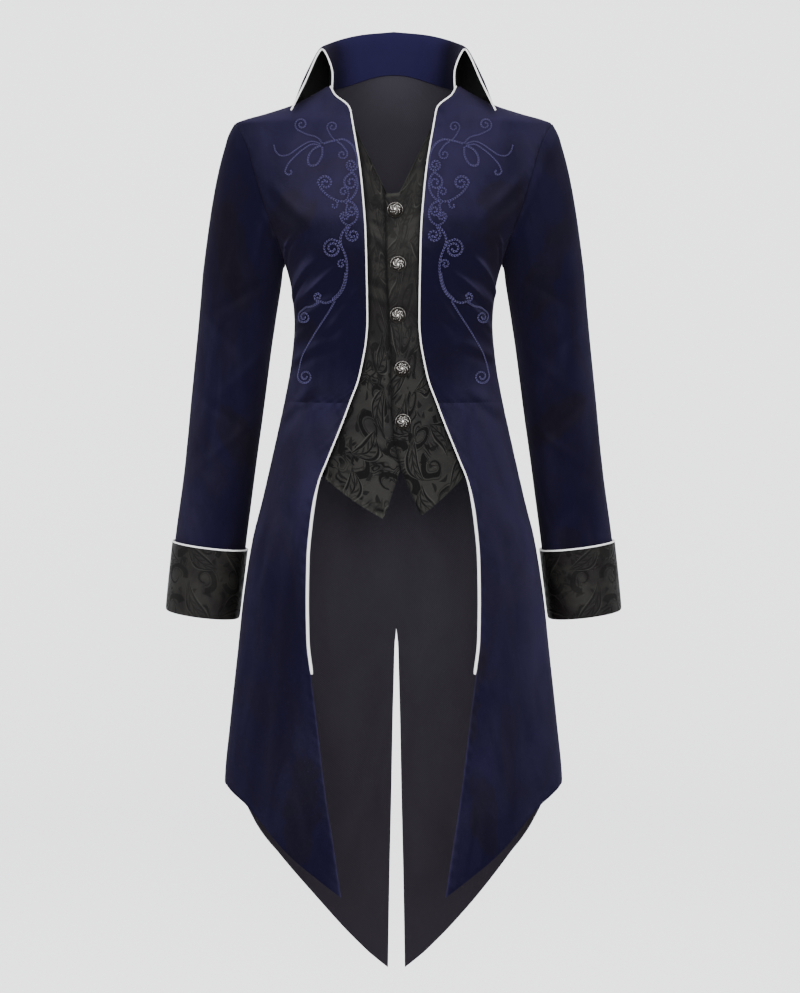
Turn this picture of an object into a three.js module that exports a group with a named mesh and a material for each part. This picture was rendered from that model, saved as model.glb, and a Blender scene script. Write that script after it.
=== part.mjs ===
// A velvet tailcoat, filled out and hollow as it is when it is worn: cutaway fronts over a false brocade waistcoat
// with metal buttons, a tall turned-down collar, sleeves with turned-back brocade cuffs, corded edges, and a lined
// back that is split into two pointed tails.
//
// Units are millimetres. +Z is up, the coat faces -Y and +X is the wearer's left. The origin is in the middle of the
// neck, level with the inner ends of the shoulder seams, where the wearer's shoulders carry the coat.
//
// Every panel is a wall laid over one filled-out form. A place on that form is an angle round it, 0 at the centre
// front, 90 degrees at the wearer's left side and 180 at the centre back, and a height z.

import * as THREE from "three";

// Cloth walls, and the gap that parts two pieces at a seam
const VELVET = 1.6;
const BROCADE = 1.2;
const LINING = 1.0;
const SEAM = 0.4;

// Heights of the main lines
const WAIST_SEAM = -392;
const SHOULDER_POINT = -52;
const UNDERARM = -224;
const NECK_SIDE = -5;
const NECK_BACK = 17;
const FRONT_NECK = -9;
const SIDE_HEM = -855;
const FRONT_CORNER = -982;
const VENT_TOP = -694;
const TAIL_TIP = -1134;

const CORD_RADIUS = 1.5;
const CORD_SIDES = 6;
const CORD_END = -718;
const BUTTON_RADIUS = 10;

// The filled-out form, one row for each level: its half width, the depths of its front and back from its middle, and
// the y of that middle. Above the shoulder point the half width follows the slope of the shoulder.
const FORM = [
  { z: -1149, half: 212, front: 136, back: 136, mid: -8 },
  { z: -982, half: 211, front: 134, back: 134, mid: -8 },
  { z: -855, half: 208, front: 132, back: 132, mid: -8 },
  { z: -789, half: 201.8, front: 129, back: 131, mid: -8 },
  { z: -689, half: 191.4, front: 124, back: 129, mid: -8 },
  { z: -640, half: 186.3, front: 121, back: 127, mid: -8 },
  { z: -564, half: 174.6, front: 116, back: 124, mid: -7 },
  { z: -515, half: 162.5, front: 112, back: 121, mid: -6 },
  { z: -440, half: 145.3, front: 104, back: 112, mid: -4 },
  { z: -392, half: 134.8, front: 98, back: 101, mid: -2 },
  { z: -341, half: 125.8, front: 93, back: 89, mid: 0 },
  { z: -297, half: 122.3, front: 94, back: 84, mid: 1 },
  { z: -254, half: 126, front: 104, back: 89, mid: 2 },
  { z: -224, half: 133.5, front: 112, back: 96, mid: 2 },
  { z: -201, half: 145, front: 115, back: 100, mid: 2 },
  { z: -176, half: 160, front: 114, back: 103, mid: 2 },
  { z: -153, half: 172, front: 109, back: 104, mid: 2 },
  { z: -115, half: 186, front: 98, back: 103, mid: 2 },
  { z: -87, half: 192.4, front: 87, back: 99, mid: 2 },
  { z: -67, half: 195.2, front: 77, back: 94, mid: 2 },
  { z: -52, half: 194.7, front: 70, back: 89, mid: 2 },
  { z: -47.5, half: 184.8, front: 68, back: 87, mid: 2 },
  { z: -40.5, half: 159.5, front: 66, back: 84, mid: 2 },
  { z: -28.5, half: 122.8, front: 64, back: 80, mid: 2 },
  { z: -17.5, half: 101, front: 63, back: 76, mid: 2 },
  { z: -5, half: 80.2, front: 61, back: 71, mid: 2 },
  { z: 6, half: 68.3, front: 58, back: 67, mid: 2 },
  { z: 19.5, half: 56.4, front: 54, back: 62, mid: 2 },
];
const SQUARENESS = 2.2; // 2 would make each level an ellipse
const SWAY = 3.3; // how far the tails hang to the wearer's left of the centre line

// How far the front edge stands from the centre line at each height
const FRONT_EDGE = [
  { z: -982, x: 62.6 },
  { z: -934, x: 69.6 },
  { z: -859, x: 81.1 },
  { z: -765, x: 92.5 },
  { z: -718, x: 98.4 },
  { z: -675, x: 103.3 },
  { z: -627, x: 104.2 },
  { z: -580, x: 103.6 },
  { z: -532, x: 99.5 },
  { z: -508, x: 96 },
  { z: -484, x: 90.5 },
  { z: -460, x: 80.9 },
  { z: -413, x: 61.9 },
  { z: -389, x: 52.9 },
  { z: -365, x: 43.9 },
  { z: -341, x: 38.4 },
  { z: -317, x: 34.3 },
  { z: -295, x: 32.7 },
  { z: -234, x: 33.4 },
  { z: -187, x: 34.6 },
  { z: -138, x: 38.3 },
  { z: -114, x: 40.9 },
  { z: -83, x: 45.6 },
  { z: -58, x: 50 },
  { z: -46, x: 52.3 },
  { z: -37, x: 56 },
  { z: -29.5, x: 62.4 },
  { z: -20.5, x: 70.8 },
  { z: FRONT_NECK, x: 75 },
];

// The armhole's distance from the centre line at each height, the same on the front and the back
const ARMHOLE = [
  { z: UNDERARM, x: 133.5 },
  { z: -220, x: 134 },
  { z: -213, x: 136 },
  { z: -201, x: 139.2 },
  { z: -176, x: 147.8 },
  { z: -153, x: 156.9 },
  { z: -115, x: 168.2 },
  { z: -87, x: 176.5 },
  { z: -67, x: 185 },
  { z: -59, x: 189.6 },
  { z: -54.5, x: 193 },
  { z: SHOULDER_POINT, x: 194.7 },
];

// The lower edges of the front skirt and of the tail, from the centre outwards
const FRONT_HEM = [
  { x: 62, z: FRONT_CORNER },
  { x: 124, z: -934 },
  { x: 157, z: -904 },
  { x: 183, z: -879 },
  { x: 200, z: -862 },
];
const TAIL_HEM = [
  { x: 11, z: TAIL_TIP },
  { x: 36.4, z: -1113 },
  { x: 63.7, z: -1085 },
  { x: 110.1, z: -1030 },
  { x: 149.4, z: -974 },
  { x: 180.5, z: -924 },
  { x: 199, z: -884 },
];

// Half of the open vent between the tails
const VENT = [
  { z: TAIL_TIP, half: 11 },
  { z: -1015, half: 9 },
  { z: -903, half: 6.5 },
  { z: -802, half: 4.6 },
  { z: -753, half: 3.3 },
  { z: -710, half: 2.2 },
  { z: VENT_TOP, half: 0.6 },
];

// Soft upright flutes of the skirt, full size at its hem
const FLUTES = [
  { angle: 33, spread: 7, rise: 3 },
  { angle: 53, spread: 9, rise: -4 },
  { angle: 74, spread: 9, rise: 5 },
  { angle: 112, spread: 9, rise: -4 },
  { angle: 133, spread: 10, rise: 5 },
  { angle: 158, spread: 9, rise: -4 },
];
const FLUTES_START = -430;
const FLUTES_FULL = -900;

// Drag lines of the bodice, each a ridge from its place at the side to its place nearer the front
const CREASES = [
  { fromAngle: 86, fromZ: -268, toAngle: 42, toZ: -219, spread: 7, rise: 2.6 },
  { fromAngle: 84, fromZ: -282, toAngle: 34, toZ: -244, spread: 8, rise: 2 },
  { fromAngle: 84, fromZ: -322, toAngle: 34, toZ: -272, spread: 11, rise: 1.6 },
];

const MATERIALS = {
  velvet: new THREE.MeshStandardMaterial({ color: 0x1f1f3d, roughness: 0.85, metalness: 0 }),
  lining: new THREE.MeshStandardMaterial({ color: 0x2b282f, roughness: 0.6, metalness: 0 }),
  brocade: new THREE.MeshStandardMaterial({ color: 0x2a2929, roughness: 0.5, metalness: 0 }),
  cord: new THREE.MeshStandardMaterial({ color: 0xe8e6e6, roughness: 0.5, metalness: 0 }),
  metal: new THREE.MeshStandardMaterial({ color: 0x9a958f, roughness: 0.3, metalness: 1 }),
};

const { clamp, degToRad, lerp, smoothstep } = THREE.MathUtils;
const vector = (x, y, z) => new THREE.Vector3(x, y, z);
const between = (a, b, t) => ({ angle: lerp(a.angle, b.angle, t), z: lerp(a.z, b.z, t) });
const numbers = (count) => Array.from({ length: count }, (_, i) => i);
const shares = (steps) => numbers(steps + 1).map((i) => i / steps);

// The value of a table's column where its key is `at`, on a smooth curve that never overshoots the rows.
function read(table, key, at, column) {
  const rising = table[0][key] < table[table.length - 1][key];
  const rows = rising ? table : [...table].reverse();
  const last = rows.length - 1;
  const x = clamp(at, rows[0][key], rows[last][key]);
  let i = 0;
  while (i < last - 1 && x > rows[i + 1][key]) i += 1;
  const rise = (j) => (rows[j + 1][column] - rows[j][column]) / (rows[j + 1][key] - rows[j][key]);
  const slope = (j) => {
    if (j === 0 || j === last) return rise(Math.max(0, j - 1));
    const [before, after] = [rise(j - 1), rise(j)];
    return before * after > 0 ? (2 * before * after) / (before + after) : 0;
  };
  const step = rows[i + 1][key] - rows[i][key];
  const t = (x - rows[i][key]) / step;
  return (
    rows[i][column] * (1 + 2 * t) * (1 - t) ** 2 +
    slope(i) * step * t * (1 - t) ** 2 +
    rows[i + 1][column] * t * t * (3 - 2 * t) -
    slope(i + 1) * step * t * t * (1 - t)
  );
}

const power = (value, exponent) => Math.sign(value) * Math.abs(value) ** exponent;

// A point of the smooth form, without folds: a level is a squared-off ellipse, deeper or flatter behind than before.
function formPoint(angle, z) {
  const turn = degToRad(angle);
  const depth = read(FORM, "z", z, Math.cos(turn) > 0 ? "front" : "back");
  const x = read(FORM, "z", z, "half") * power(Math.sin(turn), 2 / SQUARENESS);
  return vector(x, read(FORM, "z", z, "mid") - depth * power(Math.cos(turn), 2 / SQUARENESS), z);
}

function formNormal(angle, z) {
  const round = formPoint(angle + 1, z).sub(formPoint(angle - 1, z));
  const upward = formPoint(angle, z + 1).sub(formPoint(angle, z - 1));
  return round.cross(upward).normalize();
}

// How far the folds raise the cloth: a bell across each flute, and a bell across each drag line that fades at its ends.
function folds(angle, z) {
  const round = Math.abs(angle);
  const fullness = smoothstep(-z, -FLUTES_START, -FLUTES_FULL);
  const flutes = FLUTES.map((f) => f.rise * fullness * Math.exp(-(((round - f.angle) / f.spread) ** 2)));
  const creases = CREASES.map((c) => {
    const along = (c.fromAngle - round) / (c.fromAngle - c.toAngle);
    const across = (z - lerp(c.fromZ, c.toZ, along)) / c.spread;
    return c.rise * Math.exp(-across * across) * smoothstep(along, 0, 0.3) * (1 - smoothstep(along, 0.7, 1.1));
  });
  return [...flutes, ...creases].reduce((sum, rise) => sum + rise, 0);
}

// A point of the cloth, raised from the form along its normal.
function clothPoint({ angle, z }, lift) {
  return formPoint(angle, z).addScaledVector(formNormal(angle, z), lift + folds(angle, z));
}

// The place on the form's front, or its back, that lies x from the centre line.
function placeAt(x, z, behind = false) {
  const share = clamp(Math.abs(x) / read(FORM, "z", z, "half"), 0, 1);
  const angle = THREE.MathUtils.radToDeg(Math.asin(share ** (SQUARENESS / 2)));
  return { angle: (behind ? 180 - angle : angle) * (x < 0 ? -1 : 1), z };
}

// A line on the form through some places, read by its share of the line's length.
function line(places) {
  const points = places.map((p) => formPoint(p.angle, p.z));
  const lengths = [0];
  points.slice(1).forEach((p, i) => lengths.push(lengths[i] + p.distanceTo(points[i])));
  const total = lengths[lengths.length - 1];
  return (share) => {
    const wanted = clamp(share, 0, 1) * total;
    let i = 0;
    while (i < places.length - 2 && wanted > lengths[i + 1]) i += 1;
    const t = (wanted - lengths[i]) / (lengths[i + 1] - lengths[i]);
    return between(places[i], places[i + 1], t);
  };
}

// Lines one after the other, each with its own number of grid steps.
function chain(...parts) {
  const total = parts.reduce((sum, part) => sum + part.steps, 0);
  return (share) => {
    let step = clamp(share, 0, 1) * total;
    let i = 0;
    while (i < parts.length - 1 && step > parts[i].steps + 1e-9) {
      step -= parts[i].steps;
      i += 1;
    }
    return parts[i].along(step / parts[i].steps);
  };
}

const FINE = 60; // steps in a line that follows a table
const down = (from, to, place) => shares(FINE).map((t) => place(lerp(from, to, t)));

// Places inside a four-sided outline, by blending its sides. Left and right run down, top and bottom run rightwards.
function fill({ top, bottom, left, right }) {
  const mix = (key, u, v) => {
    const across = lerp(top(u)[key], bottom(u)[key], v) + lerp(left(v)[key], right(v)[key], u);
    return across - lerp(lerp(top(0)[key], top(1)[key], u), lerp(bottom(0)[key], bottom(1)[key], u), v);
  };
  return (u, v) => ({ angle: mix("angle", u, v), z: mix("z", u, v) });
}

// A grid of places over an outline, drawn in by half a seam at its four sides.
function grid(outline, columns, rows) {
  const at = fill(outline);
  const places = shares(rows).map((v) => shares(columns).map((u) => at(u, v)));
  const drawIn = (edge, next) => {
    const gap = formPoint(edge.angle, edge.z).distanceTo(formPoint(next.angle, next.z));
    const share = gap > SEAM ? SEAM / 2 / gap : 0;
    Object.assign(edge, { angle: lerp(edge.angle, next.angle, share), z: lerp(edge.z, next.z, share) });
  };
  places.forEach((row) => {
    drawIn(row[0], row[1]);
    drawIn(row[columns], row[columns - 1]);
  });
  numbers(columns + 1).forEach((i) => {
    drawIn(places[0][i], places[1][i]);
    drawIn(places[rows][i], places[rows - 1][i]);
  });
  return places;
}

// A closed solid from patches of cloth. A patch is a grid of pairs, a point of the outer face and the point behind it.
// Points that fall together are joined, and each edge that only one face uses gets a wall to the inner side.
function wall(...patches) {
  const found = new Map();
  const outer = [];
  const inner = [];
  const index = ([face, behind]) => {
    const key = face.toArray().map((n) => n.toFixed(3)).join();
    if (!found.has(key)) {
      found.set(key, outer.length);
      outer.push(face);
      inner.push(behind);
    }
    return found.get(key);
  };
  const quads = [];
  for (const { pairs, flipped } of patches) {
    const ids = pairs.map((row) => row.map(index));
    for (let j = 0; j < ids.length - 1; j += 1) {
      for (let i = 0; i < ids[j].length - 1; i += 1) {
        const quad = [ids[j][i], ids[j + 1][i], ids[j + 1][i + 1], ids[j][i + 1]];
        quads.push(flipped ? [quad[0], quad[3], quad[2], quad[1]] : quad);
      }
    }
  }
  const directed = new Set();
  quads.forEach((q) => q.forEach((a, i) => directed.add(`${a} ${q[(i + 1) % 4]}`)));
  const count = outer.length;
  const faces = [];
  const add = (a, b, c) => new Set([a, b, c]).size === 3 && faces.push(a, b, c);
  for (const [a, b, c, d] of quads) {
    add(a, b, c);
    add(a, c, d);
    add(c + count, b + count, a + count);
    add(d + count, c + count, a + count);
  }
  for (const edge of directed) {
    const [a, b] = edge.split(" ").map(Number);
    if (directed.has(`${b} ${a}`)) continue;
    add(b, a, a + count);
    add(b, a + count, b + count);
  }
  const points = [...outer, ...inner].flatMap((p) => p.toArray());
  const geometry = new THREE.BufferGeometry();
  geometry.setAttribute("position", new THREE.Float32BufferAttribute(points, 3));
  geometry.setIndex(faces);
  geometry.computeVertexNormals();
  return geometry;
}

const mirrored = (p) => vector(-p.x, p.y, p.z);
const mirrorPatch = ({ pairs, flipped }) => ({
  pairs: pairs.map((row) => row.map((pair) => pair.map(mirrored))),
  flipped: !flipped,
});

// The patch of cloth over a grid of places, its outer face `lift` above the form. Lift may be a function of a place.
function clothPatch(places, lift, thickness) {
  const height = typeof lift === "function" ? lift : () => lift;
  const pair = (p) => [clothPoint(p, height(p)), clothPoint(p, height(p) - thickness)];
  return { pairs: places.map((row) => row.map(pair)), flipped: false };
}

// The patch over a grid of free points, with the wall behind it along its own normals.
function freePatch(points, thickness, flipped = false, closed = false) {
  const rows = points.length;
  const columns = points[0].length;
  const wrap = (i) => (closed ? (i + columns - 1) % (columns - 1) : clamp(i, 0, columns - 1));
  const normal = (j, i) => {
    const round = points[j][wrap(i + 1)].clone().sub(points[j][wrap(i - 1)]);
    const along = points[Math.min(j + 1, rows - 1)][i].clone().sub(points[Math.max(j - 1, 0)][i]);
    return along.cross(round).normalize().multiplyScalar(flipped ? -1 : 1);
  };
  const pair = (p, j, i) => [p, p.clone().addScaledVector(normal(j, i), -thickness)];
  return { pairs: points.map((row, j) => row.map((p, i) => pair(p, j, i))), flipped };
}

const tailcoat = new THREE.Group();

// Moves the tails sideways, from nothing above the waist and at the side seams to all of the sway at the centre back.
function sway(points) {
  numbers(points.count).forEach((i) => {
    const [x, y, z] = [points.getX(i), points.getY(i), points.getZ(i)];
    const share = smoothstep(-z, 420, -VENT_TOP) * smoothstep(y, 20, 110) * (1 - smoothstep(Math.abs(x), 90, 175));
    points.setX(i, x + SWAY * share);
  });
}

function addPiece(name, geometry, material) {
  const mesh = new THREE.Mesh(geometry, MATERIALS[material]);
  mesh.name = name;
  tailcoat.add(mesh);
  return mesh;
}

// A piece and its mirror image. The wearer's left is +X.
function addPair(name, patch, material) {
  const left = addPiece(`${name}_left`, wall(patch), material);
  const right = addPiece(`${name}_right`, wall(mirrorPatch(patch)), material);
  return [left, right];
}

// Lines that two pieces share
const frontEdgePlace = (z) => placeAt(read(FRONT_EDGE, "z", z, "x"), z);
const armholePlace = (z, behind) => placeAt(read(ARMHOLE, "z", z, "x"), z, behind);
const ventPlace = (z) => placeAt(read(VENT, "z", z, "half"), z, true);
const sidePlace = (z) => ({ angle: 90, z });

// The armhole, closer together near its top and bottom, where it turns.
function armholePlaces(behind) {
  const height = (t) => lerp(SHOULDER_POINT, UNDERARM, (1 - Math.cos(Math.PI * t)) / 2);
  return shares(FINE).map((t) => armholePlace(height(t), behind));
}

const shoulderSeam = down(NECK_SIDE, SHOULDER_POINT, sidePlace);

function frontNeckline() {
  const start = frontEdgePlace(FRONT_NECK);
  return shares(8).map((t) => ({ angle: lerp(start.angle, 90, t), z: lerp(FRONT_NECK, NECK_SIDE, t) }));
}

function backNeckline() {
  const height = (angle) => lerp(NECK_SIDE, NECK_BACK, Math.sin(degToRad(angle - 90)) ** 2);
  return shares(16).map((t) => ({ angle: lerp(90, 180, t), z: height(lerp(90, 180, t)) }));
}

const steps = (count, places) => ({ steps: count, along: line(places) });

const NECK_COLUMNS = 2;
const SHOULDER_COLUMNS = 7;
const FRONT_COLUMNS = NECK_COLUMNS + SHOULDER_COLUMNS;
const ARMHOLE_ROWS = 10;
const BODICE_ROWS = ARMHOLE_ROWS + 9;
const SKIRT_ROWS = 15;

// Fronts: a bodice from the shoulder to the waist seam, and a skirt that hangs from it to a low front corner
const waistAngles = shares(FINE).map((t) => lerp(frontEdgePlace(WAIST_SEAM).angle, 90, t));
const waistLine = line(waistAngles.map((angle) => ({ angle, z: WAIST_SEAM })));
const shoulderSteps = steps(SHOULDER_COLUMNS, shoulderSeam);
const armholeSteps = (behind) => steps(ARMHOLE_ROWS, armholePlaces(behind));

const bodicePlaces = grid(
  {
    top: chain(steps(NECK_COLUMNS, frontNeckline()), shoulderSteps),
    bottom: waistLine,
    left: line(down(FRONT_NECK, WAIST_SEAM, frontEdgePlace)),
    right: chain(armholeSteps(false), steps(BODICE_ROWS - ARMHOLE_ROWS, down(UNDERARM, WAIST_SEAM, sidePlace))),
  },
  FRONT_COLUMNS,
  BODICE_ROWS,
);
addPair("front_bodice", clothPatch(bodicePlaces, 0, VELVET), "velvet");

const frontHem = FRONT_HEM.map(({ x, z }) => placeAt(x, z));
const skirtPlaces = grid(
  {
    top: waistLine,
    bottom: line([...frontHem, sidePlace(SIDE_HEM)]),
    left: line(down(WAIST_SEAM, FRONT_CORNER, frontEdgePlace)),
    right: line(down(WAIST_SEAM, SIDE_HEM, sidePlace)),
  },
  FRONT_COLUMNS,
  SKIRT_ROWS,
);
addPair("front_skirt", clothPatch(skirtPlaces, 0, VELVET), "velvet");

// Back: one length from shoulder to tail tip on each side of the centre seam, which opens as a vent
const BACK_NECK_COLUMNS = 4;
const BACK_COLUMNS = SHOULDER_COLUMNS + BACK_NECK_COLUMNS;
const BACK_ROWS = ARMHOLE_ROWS + 18;

const tailHem = TAIL_HEM.map(({ x, z }) => placeAt(x, z, true));
const centreBack = (z) => ({ angle: 180, z });

const backPlaces = grid(
  {
    top: chain(
      steps(SHOULDER_COLUMNS, shoulderSeam.toReversed()),
      steps(BACK_NECK_COLUMNS, backNeckline()),
    ),
    bottom: line([sidePlace(SIDE_HEM), ...tailHem.toReversed()]),
    left: chain(armholeSteps(true), steps(BACK_ROWS - ARMHOLE_ROWS, down(UNDERARM, SIDE_HEM, sidePlace))),
    right: line([...down(NECK_BACK, VENT_TOP, centreBack), ...down(VENT_TOP, TAIL_TIP, ventPlace)]),
  },
  BACK_COLUMNS,
  BACK_ROWS,
);
const backPieces = addPair("back", clothPatch(backPlaces, 0, VELVET), "velvet");

// Back lining: made from the back's own points. The velvet is turned in beyond it at the armhole, the side and the hem.
const TURNED_IN = 0.25; // share of the last row of the back
const [beforeHem, atHem] = backPlaces.slice(-2);
const liningHem = atHem.map((place, i) => between(place, beforeHem[i], TURNED_IN));
const liningPlaces = [...backPlaces.slice(0, -1), liningHem].map((row) => row.slice(1));
const liningPieces = addPair("back_lining", clothPatch(liningPlaces, -VELVET - 1.5 * SEAM, LINING), "lining");
[...backPieces, ...liningPieces].forEach((piece) => sway(piece.geometry.attributes.position));

// False waistcoat: its left half laps over its right one, and each is caught under its own front edge
const CAUGHT = 18; // how far it runs on under the front edge
const WAISTCOAT_COLUMNS = 7;
const WAISTCOAT_ROWS = 18;
const CAUGHT_LIFT = -VELVET - 1.8;
const OVERLAP_LIFT = -4.4;
const UNDERLAP_LIFT = -7.3;

// The free edge of each half from its neck to its lowest point, with x towards that half's own side
const OVERLAP_EDGE = [
  { z: -143, x: -10.1 },
  { z: -210, x: -8.9 },
  { z: -329, x: -4.2 },
  { z: -424, x: -0.6 },
  { z: -460, x: 6.6 },
  { z: -490, x: 17 },
  { z: -512, x: 27 },
  { z: -526, x: 34 },
];
const UNDERLAP_EDGE = [
  { z: -143, x: -11.9 },
  { z: -210, x: -12.9 },
  { z: -329, x: -15.9 },
  { z: -424, x: -18 },
  { z: -463, x: -10.2 },
  { z: -500, x: 1.5 },
  { z: -520, x: 8 },
  { z: -529, x: 13 },
];

function waistcoatPatch(edge, freeLift) {
  const places = ({ x, z }) => placeAt(x, z);
  const last = edge[edge.length - 1];
  const outer = (z) => placeAt(read(FRONT_EDGE, "z", z, "x") + CAUGHT, z);
  const halfGrid = grid(
    {
      top: line([edge[0], { x: 7.7, z: -140 }, { x: 45.6, z: -59 }, { x: 69.4, z: -53 }].map(places)),
      bottom: line([last, { x: 84.9, z: -481 }, { x: 98.9, z: -468 }].map(places)),
      left: line(down(edge[0].z, last.z, (z) => placeAt(read(edge, "z", z, "x"), z))),
      right: line([places({ x: 69.4, z: -53 }), ...down(-56, -464, outer), places({ x: 98.9, z: -468 })]),
    },
    WAISTCOAT_COLUMNS,
    WAISTCOAT_ROWS,
  );
  const lift = halfGrid.map((row) => row.map((_, i) => (i === WAISTCOAT_COLUMNS ? CAUGHT_LIFT : freeLift)));
  const pair = (p, j, i) => [clothPoint(p, lift[j][i]), clothPoint(p, lift[j][i] - BROCADE)];
  return { pairs: halfGrid.map((row, j) => row.map((p, i) => pair(p, j, i))), flipped: false };
}
addPiece("waistcoat_left", wall(waistcoatPatch(OVERLAP_EDGE, OVERLAP_LIFT)), "brocade");
addPiece("waistcoat_right", wall(mirrorPatch(waistcoatPatch(UNDERLAP_EDGE, UNDERLAP_LIFT))), "brocade");

// Buttons: five domes with a flat rim, down the overlap. Each stands off the form's curve until its flat back is clear.
const BUTTONS = [
  { x: 2.2, z: -162, off: 0.5 },
  { x: 5.8, z: -227, off: 0.5 },
  { x: 5.4, z: -287, off: 1.4 },
  { x: 10.8, z: -351, off: 1 },
  { x: 11.6, z: -414, off: 0.6 },
];
const BUTTON_PROFILE = [
  { share: 0, height: 0 },
  { share: 0.95, height: 0 },
  { share: 1, height: 1.2 },
  { share: 0.84, height: 1.9 },
  { share: 0.66, height: 4.2 },
  { share: 0.36, height: 6 },
  { share: 0, height: 6.6 },
];

BUTTONS.forEach(({ x, z, off }, i) => {
  const profile = BUTTON_PROFILE.map((p) => new THREE.Vector2(p.share * BUTTON_RADIUS, p.height));
  const geometry = new THREE.LatheGeometry(profile, 18);
  const place = placeAt(x, z);
  const outward = formNormal(place.angle, z);
  const button = addPiece(`button_${i + 1}`, geometry, "metal");
  button.position.copy(clothPoint(place, OVERLAP_LIFT + off));
  button.quaternion.setFromUnitVectors(vector(0, 1, 0), outward);
});

// Collar: a stand that rises from the neckline, rolls over and falls outside it to pointed fronts. Its section at each
// share of the way from the centre back to the front end goes from the neckline to the fold and on to the free edge.
const COLLAR = [
  { share: 0, foldX: 0, foldY: 80, foldZ: 69, edgeX: 0, edgeY: 95, edgeZ: 9, dip: 1 },
  { share: 0.22, foldX: 41, foldY: 75, foldZ: 64.5, edgeX: 49, edgeY: 89, edgeZ: 4, dip: 1 },
  { share: 0.5, foldX: 74, foldY: 50, foldZ: 53, edgeX: 88, edgeY: 66, edgeZ: -9, dip: 2 },
  { share: 0.75, foldX: 86, foldY: 9, foldZ: 42.5, edgeX: 106, edgeY: 20, edgeZ: -18, dip: 4 },
  { share: 0.9, foldX: 87, foldY: -17, foldZ: 37.5, edgeX: 114, edgeY: -33, edgeZ: -20, dip: 5.5 },
  { share: 1, foldX: 86.5, foldY: -32, foldZ: 34.5, edgeX: 122.5, edgeY: -56, edgeZ: -41, dip: 6.5 },
];
const COLLAR_WALL = 2;
const COLLAR_COLUMNS = 11;
const ROLL = 4.5; // radius of the turn at the fold
const FALL_SWELL = 2.5; // how far the fall stands out halfway down

const neckline = [...frontNeckline(), ...backNeckline().slice(1)].reverse();
const necklineAt = line(neckline);

function collarSection(share) {
  const at = (column) => read(COLLAR, "share", share, column);
  const foot = clothPoint(necklineAt(share), -VELVET).add(vector(0, 0, 5 * SEAM));
  const fold = vector(at("foldX"), at("foldY"), at("foldZ"));
  const edge = vector(at("edgeX"), at("edgeY"), at("edgeZ"));
  const outward = vector(edge.x - foot.x, edge.y - foot.y, 0).normalize();
  const midStand = foot.clone().lerp(fold, 0.5).addScaledVector(outward, -at("dip"));
  const inside = fold.clone().addScaledVector(outward, -ROLL).add(vector(0, 0, -ROLL));
  const outside = fold.clone().addScaledVector(outward, ROLL).add(vector(0, 0, -ROLL));
  const swell = outside.clone().lerp(edge, 0.5).addScaledVector(outward, FALL_SWELL * 0.5);
  const curve = new THREE.CatmullRomCurve3([foot, midStand, inside, fold, outside, swell, edge], false, "centripetal");
  const stops = [0, 0.5, 1, 1.6, 2, 2.5, 3, 3.5, 4, 4.5, 5, 5.5, 6];
  return stops.map((stop) => curve.getPoint(stop / 6));
}

const collarHalf = shares(COLLAR_COLUMNS).map(collarSection);
const collarWhole = [...collarHalf.slice(1).reverse().map((s) => s.map(mirrored)), ...collarHalf];
const collarPoints = numbers(collarHalf[0].length).map((j) => collarWhole.map((section) => section[j]));
const collarPatch = freePatch(collarPoints, COLLAR_WALL);
addPiece("collar", wall(collarPatch), "velvet");

// Sleeves: a cap that swells from the armhole, then ovals down to inside the cuff
const SLEEVE = [
  { z: -240, x: 186.8, half: 49, depth: 60, y: 6 },
  { z: -316, x: 196.6, half: 46.6, depth: 58, y: 12 },
  { z: -391, x: 205.8, half: 45.6, depth: 55, y: 17 },
  { z: -490, x: 218.2, half: 44, depth: 51, y: 23 },
  { z: -564, x: 228.6, half: 44.4, depth: 50, y: 27 },
  { z: -655, x: 239.4, half: 44.6, depth: 49, y: 30 },
];
const CUFF = [
  { z: -574, x: 229.9, half: 47.6, depth: 53.4, y: 27.5 },
  { z: -616, x: 235, half: 47.4, depth: 52.6, y: 29 },
  { z: -651, x: 239, half: 47, depth: 51.6, y: 30 },
  { z: -660, x: 240, half: 46.3, depth: 50.7, y: 30 },
];
const SLEEVE_LEAN = degToRad(7.2);
const CAP_ROWS = 5;
const ARM_ROWS = 9;
const AROUND = 2 * ARMHOLE_ROWS;

const sleeveAcross = vector(Math.cos(SLEEVE_LEAN), 0, Math.sin(SLEEVE_LEAN));
const sleeveUp = vector(-Math.sin(SLEEVE_LEAN), 0, Math.cos(SLEEVE_LEAN));

// An oval of a sleeve table at height z, from its outer side round by the front.
function ovalRing(table, z) {
  const at = (column) => read(table, "z", z, column);
  return numbers(AROUND + 1).map((i) => {
    const turn = (2 * Math.PI * i) / AROUND;
    return vector(at("x"), at("y") - at("depth") * Math.sin(turn), z)
      .addScaledVector(sleeveAcross, at("half") * Math.cos(turn));
  });
}

function sleeveRings() {
  const frontSide = bodicePlaces.slice(0, ARMHOLE_ROWS + 1).map((row) => clothPoint(row[FRONT_COLUMNS], 0));
  const backSide = backPlaces.slice(0, ARMHOLE_ROWS).map((row) => clothPoint(row[0], 0));
  const armhole = [...frontSide, ...backSide.slice(1).reverse(), frontSide[0]].map((p) => p.clone().setX(p.x + 1.1));
  const first = ovalRing(SLEEVE, SLEEVE[0].z);
  const paths = armhole.map((start, i) => {
    const end = first[i];
    const length = start.distanceTo(end);
    const leave = vector(0.5, Math.sign(start.y) * 0.2 * Math.abs(Math.sin((Math.PI * i) / ARMHOLE_ROWS)), -0.84);
    const leaving = start.clone().addScaledVector(leave, 0.23 * length);
    const arriving = end.clone().addScaledVector(sleeveUp, 0.33 * length);
    return new THREE.CubicBezierCurve3(start, leaving, arriving, end);
  });
  const cap = shares(CAP_ROWS).map((t) => paths.map((path) => path.getPoint(t)));
  const arm = shares(ARM_ROWS).slice(1).map((t) => ovalRing(SLEEVE, lerp(SLEEVE[0].z, SLEEVE.at(-1).z, t)));
  return [...cap, ...arm];
}

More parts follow.
